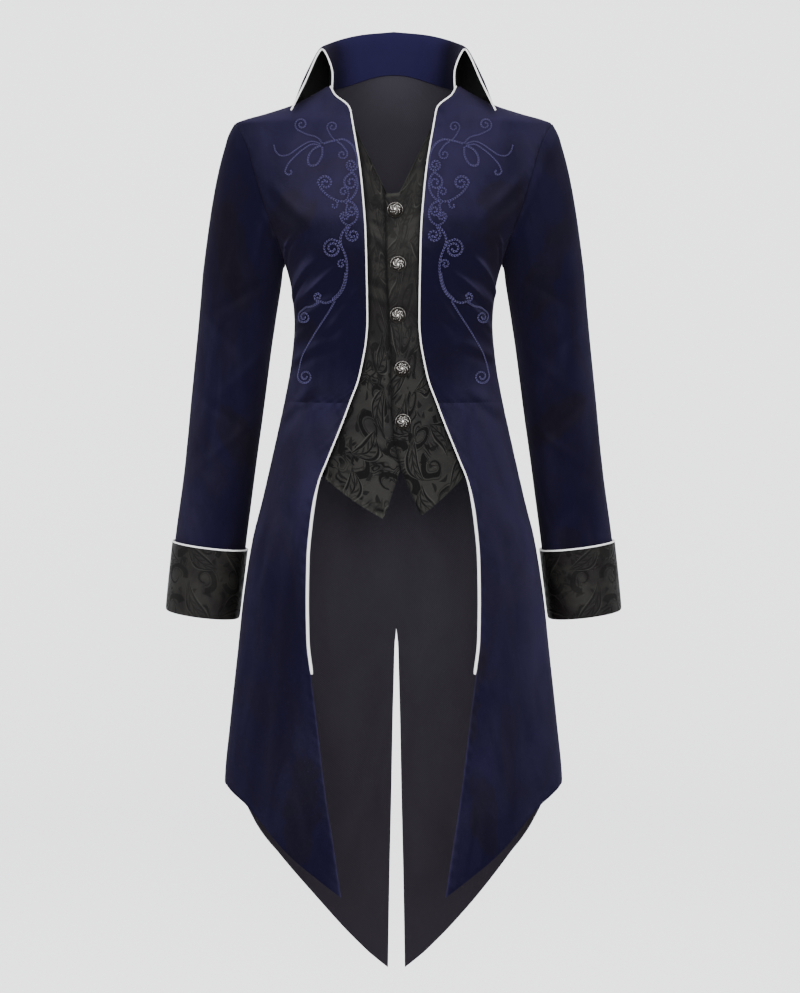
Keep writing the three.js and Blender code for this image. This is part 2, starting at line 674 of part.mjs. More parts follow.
// A lengthwise strip of a closed patch, some columns wide and drawn in by half a seam at its two sides
function strip({ pairs, flipped }, from, columns) {
  const rows = pairs.map((row) => numbers(columns + 1).map((i) => row[(from + i) % AROUND]));
  const sides = [[0, 1], [columns, columns - 1]];
  const drawn = rows.map((row) => row.map((pair, i) => {
    const side = sides.find(([edge]) => edge === i);
    if (!side) return pair;
    const next = row[side[1]];
    const share = SEAM / 2 / pair[0].distanceTo(next[0]);
    return pair.map((p, face) => p.clone().lerp(next[face], share));
  }));
  return { pairs: drawn, flipped };
}

// Each sleeve is cut in two: a top sleeve over the outside of the arm, and an under sleeve inside it
const sleevePatch = freePatch(sleeveRings(), VELVET, true, true);
addPair("top_sleeve", strip(sleevePatch, AROUND * 0.75, AROUND / 2), "velvet");
addPair("under_sleeve", strip(sleevePatch, AROUND * 0.25, AROUND / 2), "velvet");
const cuffPatch = freePatch(CUFF.map(({ z }) => ovalRing(CUFF, z)), BROCADE, true, true);
addPair("cuff", cuffPatch, "brocade");

// Cords: a six-sided tube along points, closed at its ends or joined into a ring.
function cord(points, ring = false) {
  const count = points.length;
  const at = (i) => points[ring ? (i + count) % count : clamp(i, 0, count - 1)];
  let side = vector(0.3, -0.5, 0.8);
  const vertices = points.flatMap((p, i) => {
    const along = at(i + 1).clone().sub(at(i - 1)).normalize();
    side = side.clone().addScaledVector(along, -side.dot(along)).normalize();
    const across = along.clone().cross(side);
    return numbers(CORD_SIDES).map((k) => {
      const turn = (2 * Math.PI * k) / CORD_SIDES;
      return p
        .clone()
        .addScaledVector(side, CORD_RADIUS * Math.cos(turn))
        .addScaledVector(across, CORD_RADIUS * Math.sin(turn));
    });
  });
  const faces = [];
  for (let i = 0; i < (ring ? count : count - 1); i += 1) {
    for (let k = 0; k < CORD_SIDES; k += 1) {
      const [a, b] = [i * CORD_SIDES, ((i + 1) % count) * CORD_SIDES];
      const next = (k + 1) % CORD_SIDES;
      faces.push(a + k, a + next, b + next, a + k, b + next, b + k);
    }
  }
  for (let k = 1; !ring && k < CORD_SIDES - 1; k += 1) {
    const end = (count - 1) * CORD_SIDES;
    faces.push(0, k + 1, k, end, end + k, end + k + 1);
  }
  const geometry = new THREE.BufferGeometry();
  geometry.setAttribute("position", new THREE.Float32BufferAttribute(vertices.flatMap((p) => p.toArray()), 3));
  geometry.setIndex(faces);
  geometry.computeVertexNormals();
  return geometry;
}

// The line of a cord that lies just off one edge of a patch, given that edge's column and the column next to it.
const middle = ([face, behind]) => face.clone().lerp(behind, 0.5);
function besideEdge(pairs, column, next) {
  const edge = pairs.map((row) => middle(row[column]));
  return edge.map((p, j) => {
    const along = edge[Math.min(j + 1, edge.length - 1)].clone().sub(edge[Math.max(j - 1, 0)]).normalize();
    const out = p.clone().sub(middle(pairs[j][next]));
    out.addScaledVector(along, -out.dot(along)).setLength(CORD_RADIUS + 0.45);
    return p.clone().add(out);
  });
}

function addCords(name, points, ring = false) {
  addPiece(`${name}_left`, cord(points, ring), "cord");
  addPiece(`${name}_right`, cord(points.map(mirrored).reverse(), ring), "cord");
}

// Front edge cords end short of the front corners
const trimmed = skirtPlaces.filter((row) => row[0].z > CORD_END);
const frontPairs = clothPatch([...bodicePlaces, ...trimmed], 0, VELVET).pairs;
const frontLine = besideEdge(frontPairs, 0, 1);
frontLine[0].lerp(frontLine[1], 0.15);
addCords("front_cord", frontLine);

// Collar cords follow the front ends of the stand and the fall
const lastColumn = collarPoints[0].length - 1;
addCords("collar_cord", besideEdge(collarPatch.pairs, lastColumn, lastColumn - 1));

// Cuff cords lie on the upper rims
const cuffTop = cuffPatch.pairs[0].slice(0, -1);
addCords("cuff_cord", cuffTop.map((pair) => middle(pair).addScaledVector(sleeveUp, CORD_RADIUS + 0.35)), true);

export default tailcoat;
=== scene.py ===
import bpy
import numpy as np
from mathutils import Matrix, Vector


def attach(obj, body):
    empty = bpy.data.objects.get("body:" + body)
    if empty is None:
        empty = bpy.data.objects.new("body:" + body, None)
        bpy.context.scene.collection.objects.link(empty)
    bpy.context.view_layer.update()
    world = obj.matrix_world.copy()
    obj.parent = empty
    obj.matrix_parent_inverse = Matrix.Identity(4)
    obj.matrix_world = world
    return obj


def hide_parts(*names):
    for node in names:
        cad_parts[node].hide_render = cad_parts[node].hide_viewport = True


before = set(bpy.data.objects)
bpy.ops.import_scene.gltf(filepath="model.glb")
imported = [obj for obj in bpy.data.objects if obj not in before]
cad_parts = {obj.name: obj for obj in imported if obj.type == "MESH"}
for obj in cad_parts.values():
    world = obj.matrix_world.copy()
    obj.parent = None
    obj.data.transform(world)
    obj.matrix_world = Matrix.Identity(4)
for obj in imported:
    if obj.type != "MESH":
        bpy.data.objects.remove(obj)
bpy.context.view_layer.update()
MM = 0.001
SIDES = (1, "left"), (-1, "right")

# Camera: three metres in front of the coat, above its waist and tipped down a little. The picture is 800 by
# 993 pixels, and a pixel is PIXEL millimetres of the coat.
CAMERA_AT = Vector((0.008, -3.0, -0.3286))
CAMERA_AIM = Vector((0.008, 0.0, -0.510))
PICTURE_ROWS, PIXEL = 993, 1.24
PICTURE_HEIGHT = PICTURE_ROWS * PIXEL * MM
SENSOR_HEIGHT = 36

camera_data = bpy.data.cameras.new("camera")
camera_data.sensor_fit = "VERTICAL"
camera_data.sensor_height = SENSOR_HEIGHT
camera_data.lens = SENSOR_HEIGHT * (CAMERA_AIM - CAMERA_AT).length / PICTURE_HEIGHT
camera = bpy.data.objects.new("camera", camera_data)
camera.location = CAMERA_AT
camera.rotation_euler = (CAMERA_AIM - CAMERA_AT).to_track_quat("-Z", "Y").to_euler()
bpy.context.collection.objects.link(camera)
bpy.context.scene.camera = camera

# Velvet back: two lengths of navy cotton velvet from shoulder to tail tip, seamed down the centre and open
# below as a vent. The cloth falls in soft flutes, and it drags a little from the underarm and the waist.

# Every panel lies on one filled-out form. FORM has a row for each level: z, its half width, the depths of
# its front and back from its middle, and the y of that middle. ARMHOLE has z and the distance from the
# centre line.
FORM = np.array([
    (-1149, 212, 136, 136, -8),
    (-982, 211, 134, 134, -8),
    (-855, 208, 132, 132, -8),
    (-789, 201.8, 129, 131, -8),
    (-689, 191.4, 124, 129, -8),
    (-640, 186.3, 121, 127, -8),
    (-564, 174.6, 116, 124, -7),
    (-515, 162.5, 112, 121, -6),
    (-440, 145.3, 104, 112, -4),
    (-392, 134.8, 98, 101, -2),
    (-341, 125.8, 93, 89, 0),
    (-297, 122.3, 94, 84, 1),
    (-254, 126, 104, 89, 2),
    (-224, 133.5, 112, 96, 2),
    (-201, 145, 115, 100, 2),
    (-176, 160, 114, 103, 2),
    (-153, 172, 109, 104, 2),
    (-115, 186, 98, 103, 2),
    (-87, 192.4, 87, 99, 2),
    (-67, 195.2, 77, 94, 2),
    (-52, 194.7, 70, 89, 2),
    (-47.5, 184.8, 68, 87, 2),
    (-40.5, 159.5, 66, 84, 2),
    (-28.5, 122.8, 64, 80, 2),
    (-17.5, 101, 63, 76, 2),
    (-5, 80.2, 61, 71, 2),
    (6, 68.3, 58, 67, 2),
    (19.5, 56.4, 54, 62, 2),
])
SQUARENESS = 2.2
VELVET_WALL = 1.6
NECK_SIDE, NECK_BACK = -5, 17
SHOULDER_POINT, UNDERARM, WAIST_SEAM = -52, -224, -392
SIDE_HEM, VENT_TOP, TAIL_TIP = -855, -694, -1134
ARMHOLE = np.array([
    (-224, 133.5), (-220, 134), (-213, 136), (-201, 139.2), (-176, 147.8), (-153, 156.9), (-115, 168.2),
    (-87, 176.5), (-67, 185), (-59, 189.6), (-54.5, 193), (-52, 194.7),
])


def smooth_read(table, at, column=1):
    """The column's value where the first column is at: a cubic through the rows whose slope at a row is the
    harmonic mean of the rises beside it, so it never overshoots."""
    rows = table if table[0][0] < table[-1][0] else table[::-1]
    key, value = rows[:, 0], rows[:, column]
    step = np.diff(key)
    rise = np.diff(value) / step
    slope = np.empty(len(key))
    slope[0], slope[-1] = rise[0], rise[-1]
    product = rise[:-1] * rise[1:]
    total = np.where(product > 0, rise[:-1] + rise[1:], 1)
    slope[1:-1] = np.where(product > 0, 2 * product / total, 0)
    at = np.clip(at, key[0], key[-1])
    i = np.clip(np.searchsorted(key, at, side="right") - 1, 0, len(step) - 1)
    t = (at - key[i]) / step[i]
    return (
        value[i] * (1 + 2 * t) * (1 - t) ** 2
        + slope[i] * step[i] * t * (1 - t) ** 2
        + value[i + 1] * t * t * (3 - 2 * t)
        - slope[i + 1] * step[i] * t * t * (1 - t)
    )


def rise_between(low, high, at):
    """0 below low, 1 above high, and a smooth S between."""
    t = np.clip((at - low) / (high - low), 0, 1)
    return t * t * (3 - 2 * t)


def bell(off, width):
    """1 where off is 0, falling to about a third at the width and to nothing at twice it."""
    return np.exp(-((off / width) ** 2))


def running_length(points, axis=0):
    """The length from the start of a line of points, or of each line along an axis of a grid, to each
    point."""
    step = np.linalg.norm(np.diff(points, axis=axis), axis=-1)
    return np.concatenate([np.zeros_like(np.take(step, [0], axis)), np.cumsum(step, axis)], axis)


def read_along(points, reach, at):
    """The points of a line where its length is at: straight between its own points, which have lengths
    reach."""
    return np.stack([np.interp(at, reach, column) for column in points.T], -1)


def form_point(place):
    """A place on the smooth form: each level is a squared-off ellipse, deeper or flatter behind than
    before."""
    angle, z = place[..., 0], place[..., 1]
    turn = np.radians(angle)
    cosine, sine = np.cos(turn), np.sin(turn)
    depth = np.where(cosine > 0, smooth_read(FORM, z, 2), smooth_read(FORM, z, 3))
    x = smooth_read(FORM, z) * np.sign(sine) * np.abs(sine) ** (2 / SQUARENESS)
    y = smooth_read(FORM, z, 4) - depth * np.sign(cosine) * np.abs(cosine) ** (2 / SQUARENESS)
    return np.stack([x, y, z + 0 * x], -1)


def unit(vectors):
    return vectors / np.maximum(np.linalg.norm(vectors, axis=-1, keepdims=True), 1e-9)


def grid_normal(points, ring=False):
    """Across a grid of points: the cross product of the ways down and across it. A ring's last column runs
    on into its first."""
    padded = np.concatenate([points[:, -1:], points, points[:, :1]], 1) if ring else points
    across = np.gradient(padded, axis=1)
    across = across[:, 1:-1] if ring else across
    return unit(np.cross(np.gradient(points, axis=0), across))


def form_normal(place):
    """Across the form: the cross product of a small step round it and a small step up it."""
    turn, lift = np.array([1.0, 0]), np.array([0, 1.0])
    return unit(np.cross(form_point(place + turn) - form_point(place - turn),
                         form_point(place + lift) - form_point(place - lift)))


def places(angle, z):
    angle, z = np.broadcast_arrays(np.asarray(angle, float), np.asarray(z, float))
    return np.stack([angle, z], -1)


def place_at(x, z, behind=False):
    """The place on the form's front, or its back, that lies x from the centre line."""
    share = np.clip(np.abs(x) / smooth_read(FORM, np.asarray(z, float)), 0, 1)
    angle = np.degrees(np.arcsin(share ** (SQUARENESS / 2)))
    return places(np.sign(x) * np.where(behind, 180 - angle, angle), z)


def line(points):
    """The places along a line, as a function of the share of its length on the form."""
    reach = running_length(form_point(points))
    return lambda share: read_along(points, reach / reach[-1], share)


def chain(*parts):
    """Lines one after the other, each over its own part of the share: pairs of that part and the line."""
    ends = np.cumsum([0] + [part for part, _ in parts])

    def read(share):
        out = np.zeros((len(share), 2))
        for (part, along), start in zip(parts, ends):
            inside = (share >= start - 1e-9) & (share <= start + part + 1e-9)
            out[inside] = along(np.clip((share[inside] - start) / part, 0, 1))
        return out

    return read


def fill(top, bottom, left, right, columns, rows):
    """Places inside a four-sided outline: the blend of left and right, plus the blend of top and bottom,
    less the blend of the corners."""
    u, v = np.linspace(0, 1, columns + 1), np.linspace(0, 1, rows + 1)
    t, b, l, r = top(u)[None], bottom(u)[None], left(v)[:, None], right(v)[:, None]
    u, v = u[None, :, None], v[:, None, None]
    corners = (1 - v) * ((1 - u) * t[:, :1] + u * t[:, -1:]) + v * ((1 - u) * b[:, :1] + u * b[:, -1:])
    return (1 - v) * t + v * b + (1 - u) * l + u * r - corners


# Flutes have a row each: angle, spread and rise at the hem.
FLUTES = np.array([(33, 7, 3), (53, 9, -4), (74, 9, 5), (112, 9, -4), (133, 10, 5), (158, 9, -4)])
FLUTES_START, FLUTES_FULL = -430, -900
DEGREE_WIDTH = 2.2
# Drag lines of the bodice: from angle, from z, to angle, to z, spread, rise
DRAGS = np.array([
    (86, -268, 42, -219, 7, 2.6),
    (84, -282, 34, -244, 8, 2),
    (84, -322, 34, -272, 11, 1.6),
])
# Finer wrinkles: side (1 for the wearer's left), from angle and z, to angle and z, spread, rise
WRINKLES = np.array([
    (-1, 84, -270, 40, -221, 2.4, 1.9),
    (-1, 82, -223, 52, -193, 2.2, 1.5),
    (-1, 61, -268, 27, -230, 2.8, 1.3),
    (-1, 40, -308, 12, -250, 5, 1.3),
    (-1, 80, -300, 22, -262, 5, 1.2),
    (-1, 84, -345, 30, -318, 6, 0.9),
    (-1, 70, -180, 62, -214, 4, 1.1),
    (-1, 78, -410, 40, -372, 8, 0.8),
    (-1, 52, -120, 38, -186, 9, 0.8),
    (1, 85, -266, 42, -217, 2.5, 1.8),
    (1, 81, -226, 54, -190, 2.2, 1.4),
    (1, 64, -272, 29, -236, 2.9, 1.4),
    (1, 38, -300, 14, -246, 5, 1.2),
    (1, 82, -308, 26, -258, 4.5, 1.2),
    (1, 80, -336, 34, -322, 6, 0.8),
    (1, 71, -172, 62, -208, 4, 1.1),
    (1, 76, -402, 38, -380, 8, 0.8),
    (1, 55, -112, 40, -176, 9, 0.8),
    (-1, 98, -250, 140, -205, 4, 1.4),
    (-1, 100, -300, 150, -268, 7, 1.2),
    (-1, 104, -352, 158, -366, 8, 1.0),
    (-1, 120, -110, 132, -190, 9, 1.1),
    (1, 97, -246, 138, -212, 4, 1.3),
    (1, 100, -292, 152, -276, 7, 1.2),
    (1, 106, -344, 160, -372, 8, 1.0),
    (1, 118, -120, 134, -186, 9, 1.1),
    (-1, 60, -520, 66, -760, 9, -1.6),
    (-1, 40, -540, 44, -900, 8, 1.3),
    (1, 62, -540, 67, -790, 9, -1.4),
    (1, 42, -560, 46, -880, 8, 1.4),
    (-1, 125, -520, 122, -800, 9, 1.6),
    (1, 146, -560, 143, -900, 9, 1.5),
])


def stroke(angle, z, from_angle, from_z, to_angle, to_z, spread):
    """A soft ridge along a slightly curved line, with a shallow hollow beside it, that fades in and out
    along its length. A degree is DEGREE_WIDTH millimetres here."""
    reach = np.hypot((to_angle - from_angle) * DEGREE_WIDTH, to_z - from_z)
    ahead = np.array([(to_angle - from_angle) * DEGREE_WIDTH, to_z - from_z]) / reach
    away = np.stack([(angle - from_angle) * DEGREE_WIDTH, z - from_z], -1)
    along, across = away @ ahead / reach, away @ np.array([-ahead[1], ahead[0]])
    across = across + 2 * spread * np.sin(3 * along) * (along - 0.5)
    fade = rise_between(-0.1, 0.25, along) * (1 - rise_between(0.6, 1.1, along))
    return bell(across, spread) * fade - 0.45 * bell(across - 2 * spread, spread) * fade


def folds(place):
    """The height of the cloth above the form: a bell for each flute and drag line, and then the finer
    wrinkles."""
    angle, z = place[..., 0], place[..., 1]
    round_it = np.abs(angle)
    fullness = rise_between(-FLUTES_START, -FLUTES_FULL, -z)
    height = sum(rise * fullness * bell(round_it - at, spread) for at, spread, rise in FLUTES)
    for from_angle, from_z, to_angle, to_z, spread, rise in DRAGS:
        along = (from_angle - round_it) / (from_angle - to_angle)
        across = (z - from_z - (to_z - from_z) * along) / spread
        fade = rise_between(0, 0.3, along) * (1 - rise_between(0.7, 1.1, along))
        height = height + rise * bell(across, 1) * fade
    for side, from_angle, from_z, to_angle, to_z, spread, rise in WRINKLES:
        height = height + rise * (np.sign(angle) == side) * stroke(
            round_it, z, from_angle, from_z, to_angle, to_z, spread)
    return height


def cloth_point(place, lift):
    return form_point(place) + form_normal(place) * (np.asarray(lift) + folds(place))[..., None]


def edge_distance(points):
    """How far each point of a grid is from its nearest side, measured along its row and its column."""
    across, below = running_length(points, 1), running_length(points)
    return np.minimum.reduce([across, across[:, -1:] - across, below, below[-1:] - below])


def closed_mesh(name, outer, inner, ring=False):
    """A mesh of two grids of points, a face and the face behind it, joined by walls round their edges. A
    ring's last column runs on into its first. Its UV map is the place on the cloth in metres: across, then
    down."""
    rows, columns = outer.shape[:2]
    count = rows * columns
    index = np.arange(count).reshape(rows, columns)
    if ring:
        index = np.concatenate([index, index[:, :1]], 1)
    a, b, c, d = index[:-1, :-1], index[1:, :-1], index[1:, 1:], index[:-1, 1:]
    front = np.stack([a, b, c, d], -1).reshape(-1, 4)
    back = front[:, ::-1] + count
    rim = [index[0], index[-1][::-1]] if ring else [
        np.concatenate([index[0], index[1:, -1], index[-1, -2::-1], index[-2::-1, 0]])]
    walls = [np.stack([path[:-1], path[1:], path[1:] + count, path[:-1] + count], -1) for path in rim]
    faces = np.concatenate([front, back, *walls])
    points = np.concatenate([outer.reshape(-1, 3), inner.reshape(-1, 3)]) * MM
    mesh = bpy.data.meshes.new(name)
    mesh.vertices.add(len(points))
    mesh.vertices.foreach_set("co", points.ravel())
    mesh.loops.add(faces.size)
    mesh.loops.foreach_set("vertex_index", faces.ravel())
    mesh.polygons.add(len(faces))
    mesh.polygons.foreach_set("loop_start", np.arange(0, faces.size, 4))
    mesh.update(calc_edges=True)
    flat = outer if not ring else np.concatenate([outer, outer[:, :1]], 1)
    cloth = np.meshgrid(running_length(flat, 1)[rows // 2], running_length(outer[:, columns // 2]))
    uv = np.zeros((len(faces), 4, 2))
    for k, g in enumerate(cloth):
        uv[: len(front), :, k] = np.stack([g[:-1, :-1], g[1:, :-1], g[1:, 1:], g[:-1, 1:]], -1).reshape(-1, 4)
    uv[len(front): 2 * len(front)] = uv[: len(front), ::-1]
    uv[2 * len(front):] = uv[0, 0]
    layer = mesh.uv_layers.new(name="cloth")
    layer.data.foreach_set("uv", (uv * MM).ravel())
    return mesh


def outward(mesh):
    """The mesh with its faces turned out: a closed mesh's volume, summed over its faces, is then
    positive."""
    mesh.calc_loop_triangles()
    points = np.empty(len(mesh.vertices) * 3)
    mesh.vertices.foreach_get("co", points)
    corners = np.empty(len(mesh.loop_triangles) * 3, int)
    mesh.loop_triangles.foreach_get("vertices", corners)
    a, b, c = points.reshape(-1, 3)[corners.reshape(-1, 3)].transpose(1, 0, 2)
    if (a * np.cross(b, c)).sum() < 0:
        mesh.flip_normals()
    return mesh


def add_piece(mesh, material, slot, *nodes):
    """Puts a finished mesh in the scene with its material, riding on the coat, in place of its CAD nodes."""
    piece = bpy.data.objects.new(mesh.name, outward(mesh))
    mesh.set_sharp_from_angle(angle=np.radians(45))
    mesh.polygons.foreach_set("use_smooth", np.ones(len(mesh.polygons), bool))
    mesh.materials.append(material)
    bpy.context.collection.objects.link(piece)
    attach(piece, "root")
    if nodes:
        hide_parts(*nodes)
    return piece


# Clouds where the pile is pressed grey, on the front half and the sleeves: x, z, half width, half height,
# and how far x moves for each mm of z. The back is clouded evenly, by BACK_CLOUD.
CLOUDS = np.array([
    (-190, -217, 25, 88, -0.35), (-200, -428, 25, 46, -0.3), (-122, -170, 34, 34, 0.2),
    (-106, -306, 22, 22, 0), (188, -229, 25, 72, 0.45), (201, -415, 26, 40, 0.9), (128, -146, 34, 26, 0),
    (122, -205, 13, 30, 0),
    (-112, -890, 24, 84, 0.1), (112, -890, 22, 70, -0.1), (96, -700, 14, 90, 0), (-196, -580, 18, 26, 0.3),
    (214, -560, 22, 24, -0.3),
])
BACK_CLOUD, BACK_STARTS = 0.3, 50


def clouded(points):
    """How grey the pile is: an ellipse's bell for each cloud in front, and one even share behind."""
    x, y, z = np.moveaxis(points, -1, 0)
    bells = sum(np.exp(-(((x - at - lean * (z - level)) / wide) ** 2) - ((z - level) / tall) ** 2)
                for at, level, wide, tall, lean in CLOUDS)
    return np.where(y < BACK_STARTS, bells, BACK_CLOUD)


def facing_up(points, ring=False):
    """The z of a grid's outward normal at each point."""
    normal = grid_normal(points, ring)
    outwards = np.sign((normal * (points - points.mean((0, 1)) * np.array([1, 0, 1]))).sum(-1).mean())
    return outwards * normal[..., 2]


def write_number(mesh, name, value):
    """Gives each point of a mesh a number, for its material to read."""
    mesh.attributes.new(name, "FLOAT", "POINT").data.foreach_set("value", value)


def mark(piece, **shares):
    """Gives the points of the outer and the inner grid of a piece the same numbers."""
    for name, share in shares.items():
        write_number(piece.data, name, np.tile(share.ravel(), 2))


def mark_nap(piece, points, level, ring=False, smooth=None, pull=1.2, relief=2.8):
    """Paints light and shade on a piece: its points are lighter where the cloth faces up, and darker where it
    faces down, and more so on the sides of a fold than on the smooth form under it."""
    up = facing_up(points, ring)
    slope = up if smooth is None else facing_up(smooth, ring)
    mark(piece, nap=np.clip(level + pull * slope + relief * (up - slope), -0.4, 1.4), worn=clouded(points))


class Value:
    """A number or colour that varies over a surface. Sums and products of it add Math nodes."""

    def __init__(self, finish, socket):
        self.finish, self.socket = finish, socket

    def math(self, operation, *others):
        return self.finish.node("ShaderNodeMath", {"operation": operation}, dict(enumerate((self, *others))))

    def __add__(self, other):
        return self.math("ADD", other)

    def __sub__(self, other):
        return self.math("SUBTRACT", other)

    def __rsub__(self, other):
        return (self * -1.0).math("ADD", other)

    def __mul__(self, other):
        return self.math("MULTIPLY", other)

    def __truediv__(self, other):
        return self.math("DIVIDE", other)

    __radd__, __rmul__ = __add__, __mul__

    def __abs__(self):
        return self.math("ABSOLUTE")

    def between(self, low, high):
        """0 at low, 1 at high, and a smooth S between. Low may be the greater."""
        return self.finish.node("ShaderNodeMapRange", {"interpolation_type": "SMOOTHSTEP"},
                                {"Value": self, "From Min": low, "From Max": high})


class Finish:
    """A material under construction, round one Principled shader."""

    def __init__(self, name, **constants):
        self.material = bpy.data.materials.new(name)
        self.material.use_nodes = True
        self.tree = self.material.node_tree
        self.shader = next(node for node in self.tree.nodes if node.type == "BSDF_PRINCIPLED")
        for socket, value in constants.items():
            self.shader.inputs[socket.replace("_", " ")].default_value = value
        self.place = self.node("ShaderNodeTexCoord", output="Object")

    def node(self, kind, settings=(), inputs=(), output=0):
        """Adds a node: its settings first, then the values or links of its sockets. Gives one of its
        outputs."""
        made = self.tree.nodes.new(kind)
        for name, setting in dict(settings).items():
            setattr(made, name, setting)
        for key, value in dict(inputs).items():
            if isinstance(value, Value):
                self.tree.links.new(value.socket, made.inputs[key])
            else:
                made.inputs[key].default_value = value
        return Value(self, made.outputs[output])

    def noise(self, scale, detail=2, roughness=0.5, distortion=0, place=None):
        return self.node("ShaderNodeTexNoise", {}, {
            "Vector": place or self.place, "Scale": scale, "Detail": detail, "Roughness": roughness,
            "Distortion": distortion})

    def number(self, name):
        """The number that the points of the mesh have under this name."""
        return self.node("ShaderNodeAttribute", {"attribute_name": name}, output="Fac")

    def stretched(self, scale):
        return self.node("ShaderNodeMapping", {}, {"Vector": self.place, "Scale": scale})

    def mix(self, share, first, second):
        return self.node("ShaderNodeMix", {"data_type": "RGBA"}, {0: share, 6: first, 7: second}, 2)

    def feed(self, socket, value):
        self.tree.links.new(value.socket, self.shader.inputs[socket])

    def bump(self, height, distance, strength=1.0):
        self.feed("Normal", self.node("ShaderNodeBump", {}, {
            "Strength": strength, "Distance": distance, "Height": height}))


def velvet_finish(name, wear, blues, greys):
    """Cotton velvet: from the first, shaded blue to the second, lit blue as the painted light of its points
    and some random tone rise, with ragged clouds of the greys where the pile is worn or crushed, and a fine
    grain of pile ends."""
    finish = Finish(name, Sheen_Weight=0.012, Sheen_Roughness=0.6, Sheen_Tint=(0.7, 0.6, 0.9, 1),
                    Specular_IOR_Level=0.01)
    broad = finish.noise(5.0, 2, 0.5, 0.7, finish.stretched((1.5, 1.5, 0.6)))
    patch = finish.noise(17, 3, 0.55, 1.1, finish.stretched((1.3, 1.3, 0.5)))
    pile = finish.noise(420, 2, 0.6)
    # Painted light and shade: the painted light of the points, with random tone from the noises, sets the
    # share from the darker to the lighter tone.
    painted_light_share = finish.number("nap")
    share = (painted_light_share + (broad - 0.5) * 1.0 + (patch - 0.5) * 0.6 + (pile - 0.5) * 0.25).between(-0.05, 1.05)
    cloud = finish.number("worn")
    ragged = finish.noise(9, 4, 0.6, 1.2, finish.stretched((1.2, 1.2, 0.8)))
    worn = (cloud + (ragged - 0.5) * 1.5).between(0.38, 0.62)
    blue, grey = finish.mix(share, *blues), finish.mix(share, *greys)
    mottled = ragged.between(0.40, 0.64) * 0.45
    finish.feed("Base Color", finish.mix((worn * 0.55 + mottled) * wear, blue, grey))
    finish.feed("Roughness", 0.98 - patch * 0.15)
    finish.bump(finish.noise(1500, 2, 0.7) * 0.6 + patch * 0.4 + pile * 0.5, 0.0006, 0.5)
    return finish.material


# Each pair is a painted-shade tone and a painted-light tone of one velvet colour.
VELVET_BLUES = (0.0015, 0.00125, 0.0050, 1), (0.0074, 0.0062, 0.0166, 1)
VELVET_GREYS = (0.0017, 0.0014, 0.0026, 1), (0.0070, 0.0060, 0.0098, 1)
velvet = velvet_finish("velvet", 0.9, VELVET_BLUES, VELVET_GREYS)

# TAIL_HEM has the distance from the centre line and z, and VENT has z and that distance. ARMHOLE_SHARE is how
# much of the side of a panel's grid the armhole takes, and SWAY is in millimetres.
TAIL_HEM = [
    (11, TAIL_TIP), (36.4, -1113), (63.7, -1085), (110.1, -1030), (149.4, -974), (180.5, -924), (199, -884)]
VENT = np.array([
    (TAIL_TIP, 11), (-1015, 9), (-903, 6.5), (-802, 4.6), (-753, 3.3), (-710, 2.2), (VENT_TOP, 0.6)])
ARMHOLE_SHARE = 0.36
SWAY = 3.3
fine = np.linspace(0, 1, 120)


def down(start, end, read):
    return read(start + (end - start) * fine)


def armhole_line(behind):
    """The armhole from shoulder to underarm, its places closer together near its ends, where it turns."""
    z = SHOULDER_POINT + (UNDERARM - SHOULDER_POINT) * (1 - np.cos(np.pi * fine)) / 2
    return line(place_at(smooth_read(ARMHOLE, z), z, behind))


side_place = lambda z: places(90, z)
shoulder_seam = down(NECK_SIDE, SHOULDER_POINT, side_place)
back_neck_angle = np.linspace(90, 180, 60)
back_neck_rise = np.sin(np.radians(back_neck_angle - 90)) ** 2
back_neckline = places(back_neck_angle, NECK_SIDE + (NECK_BACK - NECK_SIDE) * back_neck_rise)
tail_hem = place_at(*np.array(TAIL_HEM).T, True)[::-1]
back_places = fill(
    top=chain((7 / 11, line(shoulder_seam[::-1])), (4 / 11, line(back_neckline))),
    bottom=line(np.concatenate([side_place(np.array([SIDE_HEM])), tail_hem])),
    left=chain((ARMHOLE_SHARE, armhole_line(True)),
               (1 - ARMHOLE_SHARE, line(down(UNDERARM, SIDE_HEM, side_place)))),
    right=chain((0.6, line(down(NECK_BACK, VENT_TOP, lambda z: places(180, z)))),
                (0.4, line(down(VENT_TOP, TAIL_TIP, lambda z: place_at(smooth_read(VENT, z), z, True))))),
    columns=72, rows=200)


def sway(points):
    """The tails hang SWAY to the wearer's left at the centre, and not at all at the sides or the waist."""
    x, y, z = np.moveaxis(points, -1, 0)
    inwards = rise_between(20, 110, y) * (1 - rise_between(90, 175, np.abs(x)))
    share = rise_between(420, -VENT_TOP, -z) * inwards
    return points + np.stack([SWAY * share, 0 * x, 0 * x], -1)


def panel(name, grid, side, lift, wall, material, slot, *nodes, roll=0.7, pucker=0.2, shift=None, nap=0.42):
    """A panel of cloth over a grid of places on the wearer's left, or mirrored to the right. Its edges roll
    down into the seams, and the seams pucker the cloth beside them a little. The level of its painted light
    and shade may be a function of the shares of the way across and down the grid."""
    grid = grid * np.array([side, 1])
    smooth = form_point(grid)
    away = edge_distance(smooth)
    ripple = np.sin(smooth @ np.array([0.62, 0.35, 0.71])) * np.sin(smooth @ np.array([0.23, 0.4, 0.37]))
    height = lift - roll * bell(away, 2.2) + pucker * ripple * bell(away, 9)
    outer, inner = cloth_point(grid, height), cloth_point(grid, height - wall)
    if shift:
        outer, inner = shift(outer), shift(inner)
    piece = add_piece(closed_mesh(name, outer, inner), material, slot, *nodes)
    u, v = np.meshgrid(np.linspace(0, 1, outer.shape[1]), np.linspace(0, 1, outer.shape[0]))
    mark_nap(piece, outer, nap(u, v) if callable(nap) else nap, smooth=smooth)
    return piece


for side, word in SIDES:
    panel(f"velvet_back_{word}", back_places, side, 0, VELVET_WALL, velvet, "velvet", f"back_{word}",
          shift=sway)

